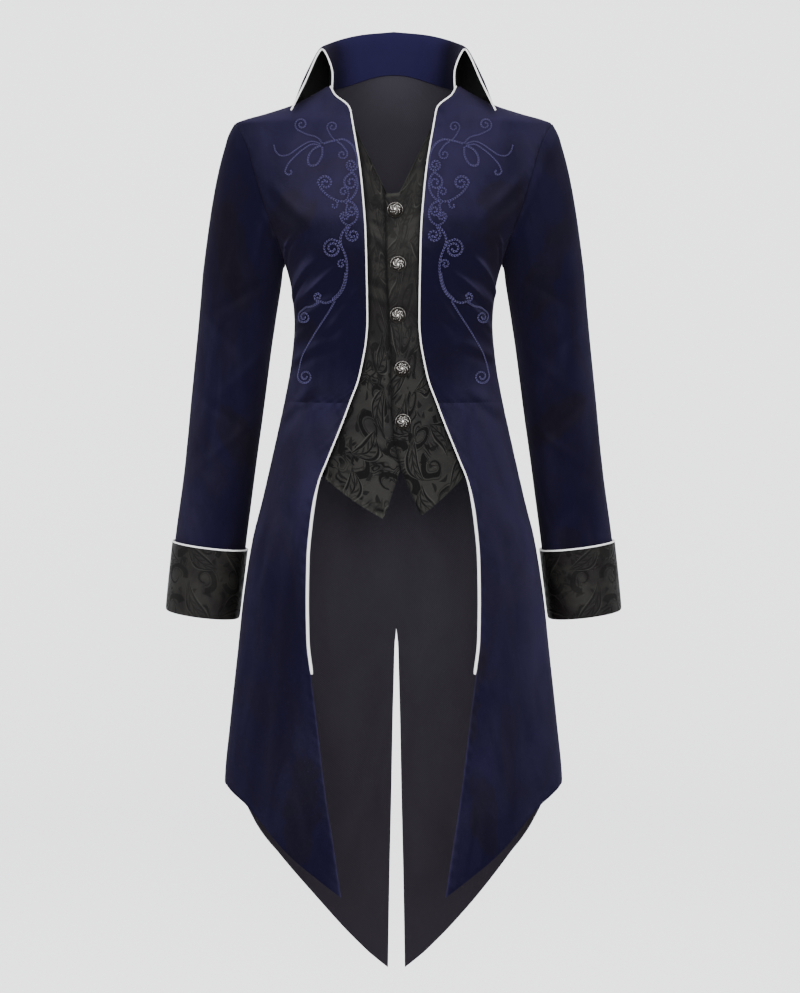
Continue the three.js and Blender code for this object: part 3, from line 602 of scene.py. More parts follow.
# Fronts: a velvet bodice from the shoulder to the waist seam, cut away at the front edge, and a skirt that
# hangs from it to a low front corner. Both are edged with cord, and turned in at the hem.
# FRONT_EDGE has z and the distance from the centre line, and FRONT_HEM that distance and z.
FRONT_EDGE = np.array([
    (-982, 62.6), (-934, 69.6), (-859, 81.1), (-765, 92.5), (-718, 98.4), (-675, 103.3), (-627, 104.2),
    (-580, 103.6), (-532, 99.5), (-508, 96), (-484, 90.5), (-460, 80.9), (-413, 61.9), (-389, 52.9),
    (-365, 43.9), (-341, 38.4), (-317, 34.3), (-295, 32.7), (-234, 33.4), (-187, 34.6), (-138, 38.3),
    (-114, 40.9), (-83, 45.6), (-58, 50), (-46, 51.9), (-37, 54.3), (-33.9, 56.5), (-29.5, 61.6),
    (-23.7, 69.4), (-20.5, 72.3), (-9, 78),
])
FRONT_NECK, FRONT_CORNER = -9, -982
FRONT_HEM = [(62, FRONT_CORNER), (124, -934), (157, -904), (183, -879), (200, -862)]


def front_edge(z):
    z = np.asarray(z, float)
    return place_at(smooth_read(FRONT_EDGE, z), z)


front_neck_angle = np.linspace(front_edge(FRONT_NECK)[0], 90, 40)
front_neckline = places(front_neck_angle, np.linspace(FRONT_NECK, NECK_SIDE, 40))
waist_line = line(places(np.linspace(front_edge(WAIST_SEAM)[0], 90, 80), WAIST_SEAM))
bodice_places = fill(
    top=chain((2 / 9, line(front_neckline)), (7 / 9, line(shoulder_seam))),
    bottom=waist_line,
    left=line(down(FRONT_NECK, WAIST_SEAM, front_edge)),
    right=chain((10 / 19, armhole_line(False)), (9 / 19, line(down(UNDERARM, WAIST_SEAM, side_place)))),
    columns=66, rows=136)
skirt_places = fill(
    top=waist_line,
    bottom=line(np.concatenate([place_at(*np.array(FRONT_HEM, float).T), side_place(np.array([SIDE_HEM]))])),
    left=line(down(WAIST_SEAM, FRONT_CORNER, front_edge)),
    right=line(down(WAIST_SEAM, SIDE_HEM, side_place)),
    columns=66, rows=150)


def bodice_nap(u, v):
    """The level of painted light at u back from the front edge and v down from the shoulder: painted shade
    under the collar, at the shoulder and low beside the edge, and painted light at the side of the waist."""
    under_collar = (0.12 + 0.48 * (1 - rise_between(0.34, 0.5, u))) * (1 - rise_between(0, 0.08, v))
    shoulder = 0.42 * (1 - rise_between(0, 0.42, v)) * (1 - 0.65 * rise_between(0.1, 0.9, u))
    low_edge = 0.34 * rise_between(0.45, 0.8, v) * (1 - rise_between(0.3, 0.8, u))
    side_waist = 0.22 * rise_between(0.5, 1, v) * rise_between(0.55, 0.95, u)
    return 0.42 - np.maximum(under_collar, shoulder) - low_edge + side_waist


def skirt_nap(u, v):
    """The same for the skirt: more at the very edge, a painted highlight on its turned edge, and towards the
    side, and less towards the hem.
    """
    return 0.22 + 0.5 * (u < 0.01) + 0.3 * rise_between(0.3, 0.8, u) - 0.1 * rise_between(0.4, 1, v)


for side, word in SIDES:
    for name, grid, nap in (("bodice", bodice_places, bodice_nap), ("skirt", skirt_places, skirt_nap)):
        panel(f"velvet_{name}_{word}", grid, side, 0, VELVET_WALL, velvet, "velvet", f"front_{name}_{word}",
              roll=0.15, nap=nap)

# Back lining: smooth dark twill, sewn to the turned-in velvet just short of the armholes, the side and the
# hem. It is what shows inside the back neck and between the fronts.
LINING_WALL = 1.0
LINING_LIFT = -VELVET_WALL - 0.6
# The darker and the lighter lining: a painted-shade and a painted-light tone of one cloth.
LINING_COLOURS = (0.0051, 0.0041, 0.0060, 1), (0.0154, 0.0138, 0.0182, 1)

lining = Finish("lining", Roughness=0.7, Sheen_Weight=0.02, Sheen_Roughness=0.5, Specular_IOR_Level=0.04)
twill = lining.node("ShaderNodeTexWave", {"wave_type": "BANDS", "bands_direction": "DIAGONAL"},
                    {"Vector": lining.place, "Scale": 260.0, "Distortion": 0.6, "Detail": 1.0})
cloud = lining.noise(7, 3, 0.55, 0.9, lining.stretched((2, 2, 0.8)))
# Painted light and shade: the painted light of the points, with a random cloud, mixes the two lining tones.
level = lining.number("nap")
lining.feed("Base Color", lining.mix(level + (cloud - 0.5) * 0.45, *LINING_COLOURS))
lining.feed("Roughness", 0.8 - cloud * 0.2)
lining.bump(twill * 0.5 + lining.noise(90, 2) * 0.8, 0.0005, 0.35)

lining_places = back_places[::2, 3:]
# The lining's painted light: lighter high up inside the coat and darker towards the hem, and lighter and
# darker where it faces up and down.
for side, word in SIDES:
    panel(f"lining_back_{word}", lining_places, side, LINING_LIFT, LINING_WALL, lining.material, "lining",
          f"back_lining_{word}", roll=0, pucker=0, shift=sway, nap=lambda u, v: 1 - 1.15 * v ** 1.6)

# False waistcoat: two halves of black brocade, each caught under its front edge. The left one laps over the
# right one and carries the buttons. The neck is bound with a narrow roll, and both hems are turned up and
# stitched. Each EDGE table has z and the distance from the centre line.
BROCADE_WALL = 1.2
CAUGHT = 18
OVERLAP_LIFT, UNDERLAP_LIFT, CAUGHT_LIFT = -4.4, -7.3, -3.4
OVERLAP_EDGE = np.array([
    (-143, -10.1), (-210, -8.9), (-329, -4.2), (-424, -0.6), (-460, 6.6), (-490, 17), (-512, 27), (-526, 34)])
UNDERLAP_EDGE = np.array([
    (-143, -11.9), (-210, -12.9), (-329, -15.9), (-424, -18), (-463, -10.2), (-500, 1.5), (-520, 8),
    (-529, 13)])


def waistcoat_places(edge):
    """The grid of one half: across from its free edge to CAUGHT past the front edge, down from neck to hem."""
    neck = np.array([(edge[0, 1], edge[0, 0]), (7.7, -140), (45.6, -59), (69.4, -53)])
    hem = np.array([(edge[-1, 1], edge[-1, 0]), (84.9, -481), (98.9, -468)])
    caught = down(-56, -464, lambda z: place_at(smooth_read(FRONT_EDGE, z) + CAUGHT, z))
    return fill(
        top=line(place_at(*neck.T)),
        bottom=line(place_at(*hem.T)),
        left=line(down(edge[0, 0], edge[-1, 0], lambda z: place_at(smooth_read(edge, z), z))),
        right=line(np.concatenate([place_at(*neck[-1:].T), caught, place_at(*hem[-1:].T)])),
        columns=64, rows=150)


def scattered(finish, size, shift):
    """Square cells of the cloth, each turned by its own random angle: the place in the cell along and across
    that turn, from the cell's middle and in shares of its size."""
    flat = finish.node("ShaderNodeUVMap", {"uv_map": "cloth"})
    scaled = finish.node("ShaderNodeVectorMath", {"operation": "MULTIPLY_ADD"},
                         {0: flat, 1: (1 / size, 1 / size, 0), 2: (shift, shift * 0.7, shift)})
    wavy = finish.node("ShaderNodeVectorMath", {"operation": "MULTIPLY_ADD"}, {
        0: finish.node("ShaderNodeTexNoise", {}, {"Vector": scaled, "Scale": 0.9, "Detail": 1.0}, 1),
        1: (0.5, 0.5, 0), 2: scaled})
    cell = finish.node("ShaderNodeVectorMath", {"operation": "FLOOR"}, {0: wavy})
    chance = finish.node("ShaderNodeTexWhiteNoise", {"noise_dimensions": "3D"}, {"Vector": cell})
    inside = finish.node("ShaderNodeVectorMath", {"operation": "FRACTION"}, {0: wavy})
    x = finish.node("ShaderNodeSeparateXYZ", {}, {0: inside}) - 0.5
    y = finish.node("ShaderNodeSeparateXYZ", {}, {0: inside}, 1) - 0.5
    turned = chance * 6.283
    cosine, sine = turned.math("COSINE"), turned.math("SINE")
    return x * cosine + y * sine, y * cosine - x * sine


def leaf_figure(along, across, length, width):
    """A bent pointed leaf: how far across it a place lies, 0 on its rib and 1 on its outline."""
    bent = abs(across - along * along * 0.9 + 0.04)
    return bent / (1.0 - (along / length) * (along / length)).math("MAXIMUM", 0.001) / width


# Ground tones, lighter and darker in patches that are partly painted sheen; the glint colour is a painted
# highlight, and the shade colour painted shadow.
BROCADE_GROUND = (0.0064, 0.0063, 0.0056, 1), (0.0028, 0.0023, 0.0025, 1)
BROCADE_GLINT, BROCADE_FIGURE = (0.0190, 0.0190, 0.0170, 1), (0.0004, 0.0003, 0.0004, 1)
BROCADE_TRIM, BROCADE_SHADE = (0.0135, 0.0135, 0.0118, 1), (0.0006, 0.0005, 0.0006, 1)


def brocade_finish(name, contrast):
    """Black brocade. Its satin ground is lighter and darker in random patches, partly its own tint and partly
    painted sheen, with a painted glint round each leaf. The figure is darker and duller: ribbed leaves, curls
    that follow r = 0.13 + 0.26 of a turn, and buds and flowing lines between them. It is weaker above the
    waist. The number trim of the points lightens the bound edges, and the number shade darkens with painted
    shadow and a little even darkening low on the waistcoat."""
    finish = Finish(name, Specular_IOR_Level=0.04)
    along, across = scattered(finish, 0.056, 0.0)
    leaf = leaf_figure(along, across, 0.47, 0.17)
    outline = leaf.between(0.70, 0.82) * leaf.between(1.12, 1.0)
    ribs = (along * 34.0 + leaf * 9.0).math("SINE").between(0.1, 0.7)
    ribs = ribs * leaf.between(0.68, 0.6) * leaf.between(0.1, 0.2)
    vein = leaf.between(0.13, 0.06)
    leaf_all = outline.math("MAXIMUM", ribs * 0.75).math("MAXIMUM", vein)
    apart = leaf.between(1.15, 1.35)
    # Painted glint: a thin lighter ring round each leaf.
    glint = leaf.between(1.1, 1.16) * leaf.between(1.3, 1.2)

    along, across = scattered(finish, 0.042, 3.37)
    reach = (along * along + across * across).math("SQRT")
    angle = across.math("ARCTAN2", along) / 6.283 + 0.5
    off = reach - angle * 0.26 - 0.13
    curl = abs(off) / (angle * 0.10 + 0.012)
    curl_all = curl.between(1.0, 0.8) * reach.between(0.49, 0.46)
    hair = abs(curl - 1.6).between(0.22, 0.1) * reach.between(0.49, 0.45) * 0.6

    along, across = scattered(finish, 0.019, 7.71)
    bud = leaf_figure(along, across, 0.36, 0.13)
    bud_all = bud.between(1.1, 0.95) * reach.between(0.36, 0.44)

    flowing = (finish.noise(30, 1, 0.4, 1.6) * 60.0).math("SINE").between(0.0, 0.85)
    feathers = flowing * finish.noise(24, 1, 0.5, 0.5).between(0.50, 0.60)

    between_leaves = curl_all.math("MAXIMUM", hair).math("MAXIMUM", bud_all * 0.8).math("MAXIMUM", feathers)
    height = finish.node("ShaderNodeSeparateXYZ", {}, {0: finish.place}, 2)
    below_waist = height.between(-0.27, -0.39) * 0.5 + 0.5
    figure = leaf_all.math("MAXIMUM", between_leaves * apart) * below_waist
    # Random patches of lighter greenish and darker warmer ground: partly its own tint, partly painted sheen of
    # the draped satin.
    tone = finish.noise(15, 3, 0.6, 1.2)
    ground = finish.mix(tone.between(0.35, 0.65), *BROCADE_GROUND)
    lighter = finish.mix(glint * 0.6 * contrast, ground, BROCADE_GLINT)
    threads = finish.node("ShaderNodeTexNoise", {}, {
        "Vector": finish.node("ShaderNodeUVMap", {"uv_map": "cloth"}), "Scale": 1400.0, "Detail": 1.0})
    woven_and_sheen = finish.mix(figure * contrast, lighter, BROCADE_FIGURE)
    trim = finish.number("trim")
    trimmed = finish.mix(trim * 0.6, woven_and_sheen, BROCADE_TRIM)
    shade = finish.number("shade")
    finish.feed("Base Color", finish.mix(shade, trimmed, BROCADE_SHADE))
    finish.feed("Roughness", 0.5 + figure * 0.25)
    finish.bump(figure * 0.8 + threads * 0.3 + tone * 1.5, 0.0005, 0.6)
    return finish.material


brocade = brocade_finish("brocade", 0.95)
for side, word, edge, free_lift in (
    (1, "left", OVERLAP_EDGE, OVERLAP_LIFT), (-1, "right", UNDERLAP_EDGE, UNDERLAP_LIFT),
):
    overlap = side > 0
    half_places = waistcoat_places(edge)
    smooth = form_point(half_places)
    share = np.linspace(0, 1, half_places.shape[1])
    from_neck, from_edge = running_length(smooth), running_length(smooth, 1)
    to_hem = from_neck[-1:] - from_neck
    neck_binding = 1 - rise_between(4.2, 5.4, from_neck)
    hem_fold = 1 - rise_between(5.2, 6.2, to_hem)
    stitching = bell(to_hem - 1.6, 0.6) + bell(to_hem - 5.6, 0.6) + bell(from_neck - 5, 0.7)
    ruffle = np.sin(smooth[..., 0] * 0.55) * np.exp(-to_hem / 9) * (0.25 if overlap else 1.1)
    lift = (free_lift + (CAUGHT_LIFT - free_lift) * rise_between(0.86, 1, share)[None]
            + 0.7 * neck_binding + 0.35 * hem_fold - 0.4 * stitching + ruffle
            + (0.9 if overlap else 0) * bell(from_edge - 3.2, 1.6))
    piece = panel(f"brocade_waistcoat_{word}", half_places, side, lift, BROCADE_WALL, brocade, "brocade",
                  f"waistcoat_{word}")
    # The figure isn't mirrored: the cloth of both halves runs the same way
    cloth = piece.data.uv_layers["cloth"].data
    flat = np.empty(len(cloth) * 2)
    cloth.foreach_get("uv", flat)
    cloth.foreach_set("uv", flat * np.tile([side, 1], len(cloth)))
    trim = np.maximum(neck_binding, (0.45 if overlap else 0.9) * hem_fold)
    trim = trim * (1 - 0.8 * np.clip(stitching, 0, 1))
    # Painted shadow, in the number shade: under the front edges, along the overlap's free edge and under it,
    # and in bands for the underlap's gathers; and an even darkening over the whole overlap and low on both
    # halves.
    x, z = smooth[..., 0], half_places[..., 1]
    under_front = 0.95 * bell(smooth_read(FRONT_EDGE, z) - x, 5.5)
    free_edge = 0.95 * bell(from_edge, 1.7)
    under_overlap = 0.9 * bell(smooth_read(OVERLAP_EDGE, z) + x, 3) * (z > -470)
    gather_shade = np.clip(np.sin(z * 0.19 + np.sin(z * 0.071) * 2 - 0.12 * x), 0, 1)
    gather_shade = 0.75 * gather_shade * bell(x - 20, 12)
    fold_shade = free_edge + 0.08 if overlap else under_overlap + gather_shade
    below_waist = 0.12 * rise_between(250, 380, -z)
    mark(piece, trim=trim, shade=np.clip(under_front + fold_shade + below_waist, 0, 1))

# Buttons: five pressed metal domes with a roped rim and a worn scroll relief, dark in its hollows, sewn down
# the overlap. Each stands off the curve of the cloth by the distance listed with it, to keep its flat back
# clear.
BUTTONS = ((2.2, -162, 0.5), (5.8, -227, 0.5), (5.4, -287, 1.4), (10.8, -351, 1), (11.6, -414, 0.6))
BUTTON_RADIUS = 9.7


def button_mesh(name, turned):
    """A dome over its share s of the radius and its angle t: a roped ring round the rim, and inside it
    scrolls that wind outwards, where sin(3 t + 8 s) or sin(5 t - 11 s) is near 0. It is closed by a flat
    back."""
    s, t = np.meshgrid(np.linspace(0, 1, 37), np.linspace(0, 2 * np.pi, 78, endpoint=False), indexing="ij")
    ring = np.sqrt(np.clip(1 - ((s - 0.915) / 0.085) ** 2, 0, 1)) * (1.3 + 0.3 * np.sin(26 * t + 40 * s))
    dome = 4.6 * np.sqrt(np.clip(1 - (s / 0.84) ** 2, 0, 1))
    scroll = bell(np.sin(3 * (t + turned) + 8 * s), 0.36)
    scroll = scroll + 0.8 * bell(np.sin(5 * (t + turned) - 11 * s), 0.32)
    relief = scroll * rise_between(0.16, 0.3, s) * (1 - rise_between(0.66, 0.8, s)) + 1.2 * bell(s, 0.15)
    height = 1.3 + ring + dome + 0.55 * relief
    height[-1] = 0.9
    reach = s * BUTTON_RADIUS
    top = np.stack([reach * np.cos(t), reach * np.sin(t), height], -1)
    mesh = closed_mesh(name, top, top * np.array([0.97, 0.97, 0]), ring=True)
    # Painted shade on the lower half of the dome and rim, on top of the tarnish in the hollows of the relief;
    # the outer edge of the rim is darker too.
    below = np.clip(0.15 - np.sin(t), 0, 1) * rise_between(0.1, 0.7, s)
    on_dome, on_rim = 0.9 - relief + 0.5 * below, 0.42 + 0.3 * below
    depth = np.where(s < 0.82, on_dome, on_rim) + bell(s - 0.84, 0.03) + 0.5 * rise_between(0.95, 1, s)
    write_number(mesh, "tarnish_and_shade", np.concatenate([np.clip(depth, 0, 1).ravel(), np.ones(s.size)]))
    return mesh


silver = Finish("old_silver", Metallic=1.0)
tarnish_and_shade = silver.number("tarnish_and_shade")
# Tarnish in the hollows, and painted shade on the lower half, darken the silver.
tarnish_and_shade_share = (tarnish_and_shade * 0.85 + silver.noise(600, 2) * 0.4).between(0.28, 0.72)
silver.feed("Base Color", silver.mix(tarnish_and_shade_share, (0.34, 0.328, 0.308, 1), (0.010, 0.009, 0.008, 1)))
silver.feed("Roughness", 0.24 + tarnish_and_shade_share * 0.3)
for number, (x, z, off) in enumerate(BUTTONS, 1):
    at = place_at(np.array(float(x)), float(z))
    outward_axis = Vector(form_normal(at))
    mesh = button_mesh(f"silver_button_{number}", 0.9 * number)
    mesh.transform((outward_axis.to_track_quat("Z", "Y")).to_matrix().to_4x4())
    mesh.transform(Matrix.Translation(Vector(cloth_point(at, OVERLAP_LIFT + off) * MM)))
    add_piece(mesh, silver.material, "metal", f"button_{number}")

# Collar: one piece of velvet over a stiff canvas. It stands up from the neckline, rolls over, and falls
# outside to blunt points. COLLAR has a row for each share of the way from the centre back to the front end:
# the x, y and z of the fold, those of the free edge, and how far the stand dips in between its ends.
COLLAR = np.array([
    (0, 0, 80, 69, 0, 95, 9, 1),
    (0.22, 41, 75, 64.5, 49, 89, 4, 1),
    (0.5, 74, 50, 53, 88, 66, -9, 2),
    (0.75, 86, 9, 42.5, 109, 20, -20, 4),
    (0.9, 87, -17, 37.5, 118, -33, -31, 5.5),
    (1, 86.5, -32, 34.5, 122.5, -56, -41, 6.5),
])
COLLAR_COLUMNS, COLLAR_ROWS = 150, 60
COLLAR_WALL, ROLL, FALL_SWELL, FOOT_LIFT, FOOT_RISE = 2.0, 4.5, 5.0, -3.6, -1.5


def smooth_through(points, stops):
    """A curve through the second last axis of points, a cubic between each two. Its slope at a point is that
    of the parabola through it and its neighbours, spaced by the square roots of their distances. Stops count
    points."""
    points = np.concatenate([2 * points[..., :1, :] - points[..., 1:2, :], points,
                             2 * points[..., -1:, :] - points[..., -2:-1, :]], -2)
    step = np.diff(points, axis=-2)
    span = np.sqrt(np.maximum(np.linalg.norm(step, axis=-1, keepdims=True), 1e-6))
    before, after = span[..., :-1, :], span[..., 1:, :]
    slope = step[..., :-1, :] / before + step[..., 1:, :] / after - (
        points[..., 2:, :] - points[..., :-2, :]) / (before + after)
    i = np.clip(np.floor(stops).astype(int), 0, slope.shape[-2] - 2)
    t = (stops - i)[:, None]
    width, start, end = span[..., i + 1, :], points[..., i + 1, :], points[..., i + 2, :]
    return (
        start * (1 + 2 * t) * (1 - t) ** 2
        + slope[..., i, :] * width * t * (1 - t) ** 2
        + end * t * t * (3 - 2 * t)
        - slope[..., i + 1, :] * width * t * t * (1 - t)
    )


def behind(points, wall, ring=False):
    """The points of a grid moved to the back of a wall."""
    return points - grid_normal(points, ring) * wall


neckline = line(np.concatenate([front_neckline, back_neckline[1:]])[::-1])
signed = np.linspace(-1, 1, COLLAR_COLUMNS + 1)
share = np.abs(signed)
flip = np.stack([np.sign(signed), np.ones(len(signed)), np.ones(len(signed))], -1)
foot = cloth_point(neckline(share), FOOT_LIFT) + np.array([0, 0, FOOT_RISE])
fold, free, dip = (np.stack([smooth_read(COLLAR, share, k) for k in columns], -1)
                   for columns in ((1, 2, 3), (4, 5, 6), (7,)))
out = unit((free - foot) * np.array([1, 1, 0]))
inside, outside = fold - out * ROLL - np.array([0, 0, ROLL]), fold + out * ROLL - np.array([0, 0, ROLL])
swell = (FALL_SWELL * (1 - 1.2 * rise_between(0.93, 1, share)) / 2)[:, None]
stand, fall = (foot + fold) / 2 - out * dip, (outside + free) / 2 + out * swell
sections = smooth_through(
    np.stack([foot, stand, inside, fold, outside, fall, free], 1), np.linspace(0, 6, COLLAR_ROWS + 1))
collar_points = (sections * flip[:, None]).transpose(1, 0, 2)
collar_inner = behind(collar_points, COLLAR_WALL)
# The collar's painted-shade and painted-light tones, darker than the coat's.
COLLAR_BLUES = (0.0009, 0.0008, 0.0034, 1), (0.0045, 0.0037, 0.0152, 1)
COLLAR_GREYS = (0.0012, 0.0011, 0.0022, 1), (0.0050, 0.0044, 0.0090, 1)
collar_velvet = velvet_finish("collar_velvet", 0.15, COLLAR_BLUES, COLLAR_GREYS)
collar_piece = add_piece(
    closed_mesh("velvet_collar", collar_points, collar_inner), collar_velvet, "velvet", "collar")
# Painted light on the collar: darker towards its front ends, and a little lighter where it faces up.
mark_nap(collar_piece, collar_points, (0.85 - 0.95 * rise_between(0.3, 0.62, share))[None], pull=0.3)
# Painted shade: the collar's under side, seen in the gap under its fall, is near black, for the shadow there.
undercollar_shade = Finish("undercollar_painted_shade", Roughness=0.95, Specular_IOR_Level=0.05,
              Base_Color=(0.0034, 0.0032, 0.0036, 1))
collar_piece.data.materials.append(undercollar_shade.material)
hidden = np.zeros(len(collar_piece.data.polygons), int)
hidden[: COLLAR_COLUMNS * COLLAR_ROWS] = 1
collar_piece.data.polygons.foreach_set("material_index", hidden)

# Sleeves: velvet, with a cap that swells from the armhole and an arm that leans out and forward to inside
# the cuff. SLEEVE and CUFF have a row for each level: z, the middle's x, half the width, half the depth, and
# the middle's y.
SLEEVE = np.array([
    (-240, 186.8, 49, 60, 6),
    (-316, 196.6, 46.6, 58, 12),
    (-391, 205.8, 45.6, 55, 17),
    (-490, 218.2, 44, 51, 23),
    (-564, 228.6, 44.4, 50, 27),
    (-655, 239.4, 44.6, 49, 30),
])
SLEEVE_LEAN = np.radians(7.2)
CAP_END, SLEEVE_END = -240.0, -652
AROUND, CAP_ROWS, ARM_ROWS = 112, 36, 116
ACROSS_ARM = np.array([np.cos(SLEEVE_LEAN), 0, np.sin(SLEEVE_LEAN)])
UP_ARM = np.array([-np.sin(SLEEVE_LEAN), 0, np.cos(SLEEVE_LEAN)])
# Wrinkles of the arm: the wearer's left (1) or right (-1), turn in degrees from the outer side round by the
# front, z, slant in mm for each degree, length in degrees, spread, rise
ARM_WRINKLES = np.array([
    (-1, 100, -262, 0.5, 40, 7, -0.7),
    (-1, 60, -300, -0.7, 45, 9, -0.6),
    (-1, 120, -352, 0.8, 50, 9, 0.6),
    (-1, 70, -398, -0.5, 40, 8, -0.5),
    (-1, 110, -436, 0.7, 50, 8, 0.6),
    (-1, 50, -478, -0.6, 40, 10, 0.5),
    (-1, 250, -380, 0.6, 50, 8, 0.6),
    (-1, 280, -430, -0.5, 50, 8, -0.6),
    (1, 96, -258, 0.55, 42, 7, -0.7),
    (1, 64, -312, -0.6, 45, 9, -0.6),
    (1, 118, -346, 0.7, 50, 9, 0.6),
    (1, 76, -408, -0.6, 42, 8, -0.6),
    (1, 106, -446, 0.6, 50, 8, 0.6),
    (1, 48, -492, -0.5, 40, 10, 0.4),
    (1, 246, -386, 0.55, 50, 8, 0.6),
    (1, 282, -436, -0.6, 50, 8, -0.6),
])


def oval_rings(table, z, turn, shrink=0.0):
    """Ovals of a table at the heights z, from the outer side round by the front, each smaller by shrink."""
    x, half, depth, y = (smooth_read(table, z, k)[:, None] for k in (1, 2, 3, 4))
    middle = np.stack([x + 0 * turn, y - (depth - shrink) * np.sin(turn), z[:, None] + 0 * turn], -1)
    return middle + ((half - shrink) * np.cos(turn))[..., None] * ACROSS_ARM


turn = np.linspace(0, 2 * np.pi, AROUND, endpoint=False)[None]
share = np.linspace(0, 1, AROUND // 2 + 1)
front_armhole = cloth_point(armhole_line(False)(share), 0)
back_armhole = cloth_point(armhole_line(True)(share), 0)
armhole = np.concatenate([front_armhole, back_armhole[-2:0:-1]]) + np.array([0.6, 0, 0])
first_ring = oval_rings(SLEEVE, np.array([CAP_END]), turn)[0]
reach = np.linalg.norm(first_ring - armhole, axis=-1, keepdims=True)
backwards = np.sign(armhole[:, 1]) * 0.2 * np.abs(np.sin(turn[0]))
leave = np.stack([0.5 + 0 * backwards, backwards, -0.84 + 0 * backwards], -1)
leaving, arriving = armhole + leave * 0.23 * reach, first_ring + UP_ARM * 0.33 * reach
t = np.linspace(0, 1, CAP_ROWS + 1)[:, None, None]
cap = ((1 - t) ** 3 * armhole + 3 * t * (1 - t) ** 2 * leaving
       + 3 * t * t * (1 - t) * arriving + t ** 3 * first_ring)
arm = oval_rings(SLEEVE, np.linspace(CAP_END, SLEEVE_END, ARM_ROWS + 1)[1:], turn)
middle = armhole.mean(0)
tucked = np.stack([armhole + unit(middle - armhole) * depth - np.array([across, 0, 0])
                   for depth, across in ((3.2, 4.5), (2.6, 2.2))])
smooth_sleeve = np.concatenate([tucked, cap, arm])
sleeve_normal = -grid_normal(smooth_sleeve, ring=True)
for side, word in SIDES:
    degrees, z = np.degrees(turn), smooth_sleeve[..., 2]
    raised = np.zeros(z.shape)
    for which, at, level, slant, length, spread, rise in ARM_WRINKLES:
        off = degrees - at
        raised += (which == side) * rise * bell(z - level - slant * off, spread) * bell(off, length)
    row = np.arange(z.shape[0])[:, None]
    at_top = bell(np.minimum(degrees, 360 - degrees), 35)
    raised -= 0.8 * bell(row, 2.2) * (1 - 2.2 * at_top) - 0.9 * bell(row - 6, 2.6)
    beside_seam = rise_between(150, 185, -z) * (1 - rise_between(215, 290, -z))
    raised += 1.3 * beside_seam * (bell(degrees - 134, 7) + 0.7 * bell(degrees - 112, 6))
    points = smooth_sleeve + sleeve_normal * raised[..., None]
    mirror = np.array([side, 1, 1])
    inner = points - sleeve_normal * VELVET_WALL
    mesh = closed_mesh(f"velvet_sleeve_{word}", points * mirror, inner * mirror, ring=True)
    piece = add_piece(mesh, velvet, "velvet", f"top_sleeve_{word}", f"under_sleeve_{word}")
    # Painted light on the sleeves: darker towards the cap, and lighter and darker where the cloth faces up and
    # down.
    level = 0.3 - 0.3 * rise_between(-330, -120, z)
    mark_nap(piece, points * mirror, level, True, smooth_sleeve * mirror, pull=0.5, relief=1.5)

# Cuffs: brocade bands over the sleeve ends, turned in round the hem and edged with cord at the top.
CUFF = np.array([
    (-574, 229.9, 47.6, 53.4, 27.5),
    (-616, 235, 47.4, 52.6, 29),
    (-651, 239, 47, 51.6, 30),
    (-660, 240, 46.3, 50.7, 30),
])
CUFF_TURN, CUFF_ROWS = 2.4, 48
bend = np.linspace(0, np.pi, 9)[1:]
cuff_z = np.concatenate([np.linspace(-574, -657, CUFF_ROWS), -657 - CUFF_TURN * np.sin(bend), [-650, -640]])
cuff_in = np.concatenate([np.zeros(CUFF_ROWS), CUFF_TURN * (1 - np.cos(bend)), [2 * CUFF_TURN] * 2])
cuff = oval_rings(CUFF, cuff_z, turn, cuff_in[:, None])
cuff_inner = behind(cuff, -BROCADE_WALL, ring=True)
cuff_brocade = brocade_finish("brocade_cuff", 0.5)
for side, word in SIDES:
    mirror = np.array([side, 1, 1])
    mesh = closed_mesh(f"brocade_cuff_{word}", cuff * mirror, cuff_inner * mirror, ring=True)
    piece = add_piece(mesh, cuff_brocade, "brocade", f"cuff_{word}")

# Cords: white three-strand cord, sewn on just outside the edges of the fronts, the collar and the cuffs.
# Below the waistcoat the front cord is thicker.
CORD_RADIUS, CORD_END, LAY = 1.22, -718, 8.5
CORD_STEP, STRAND_SIDES = 1.0, 6


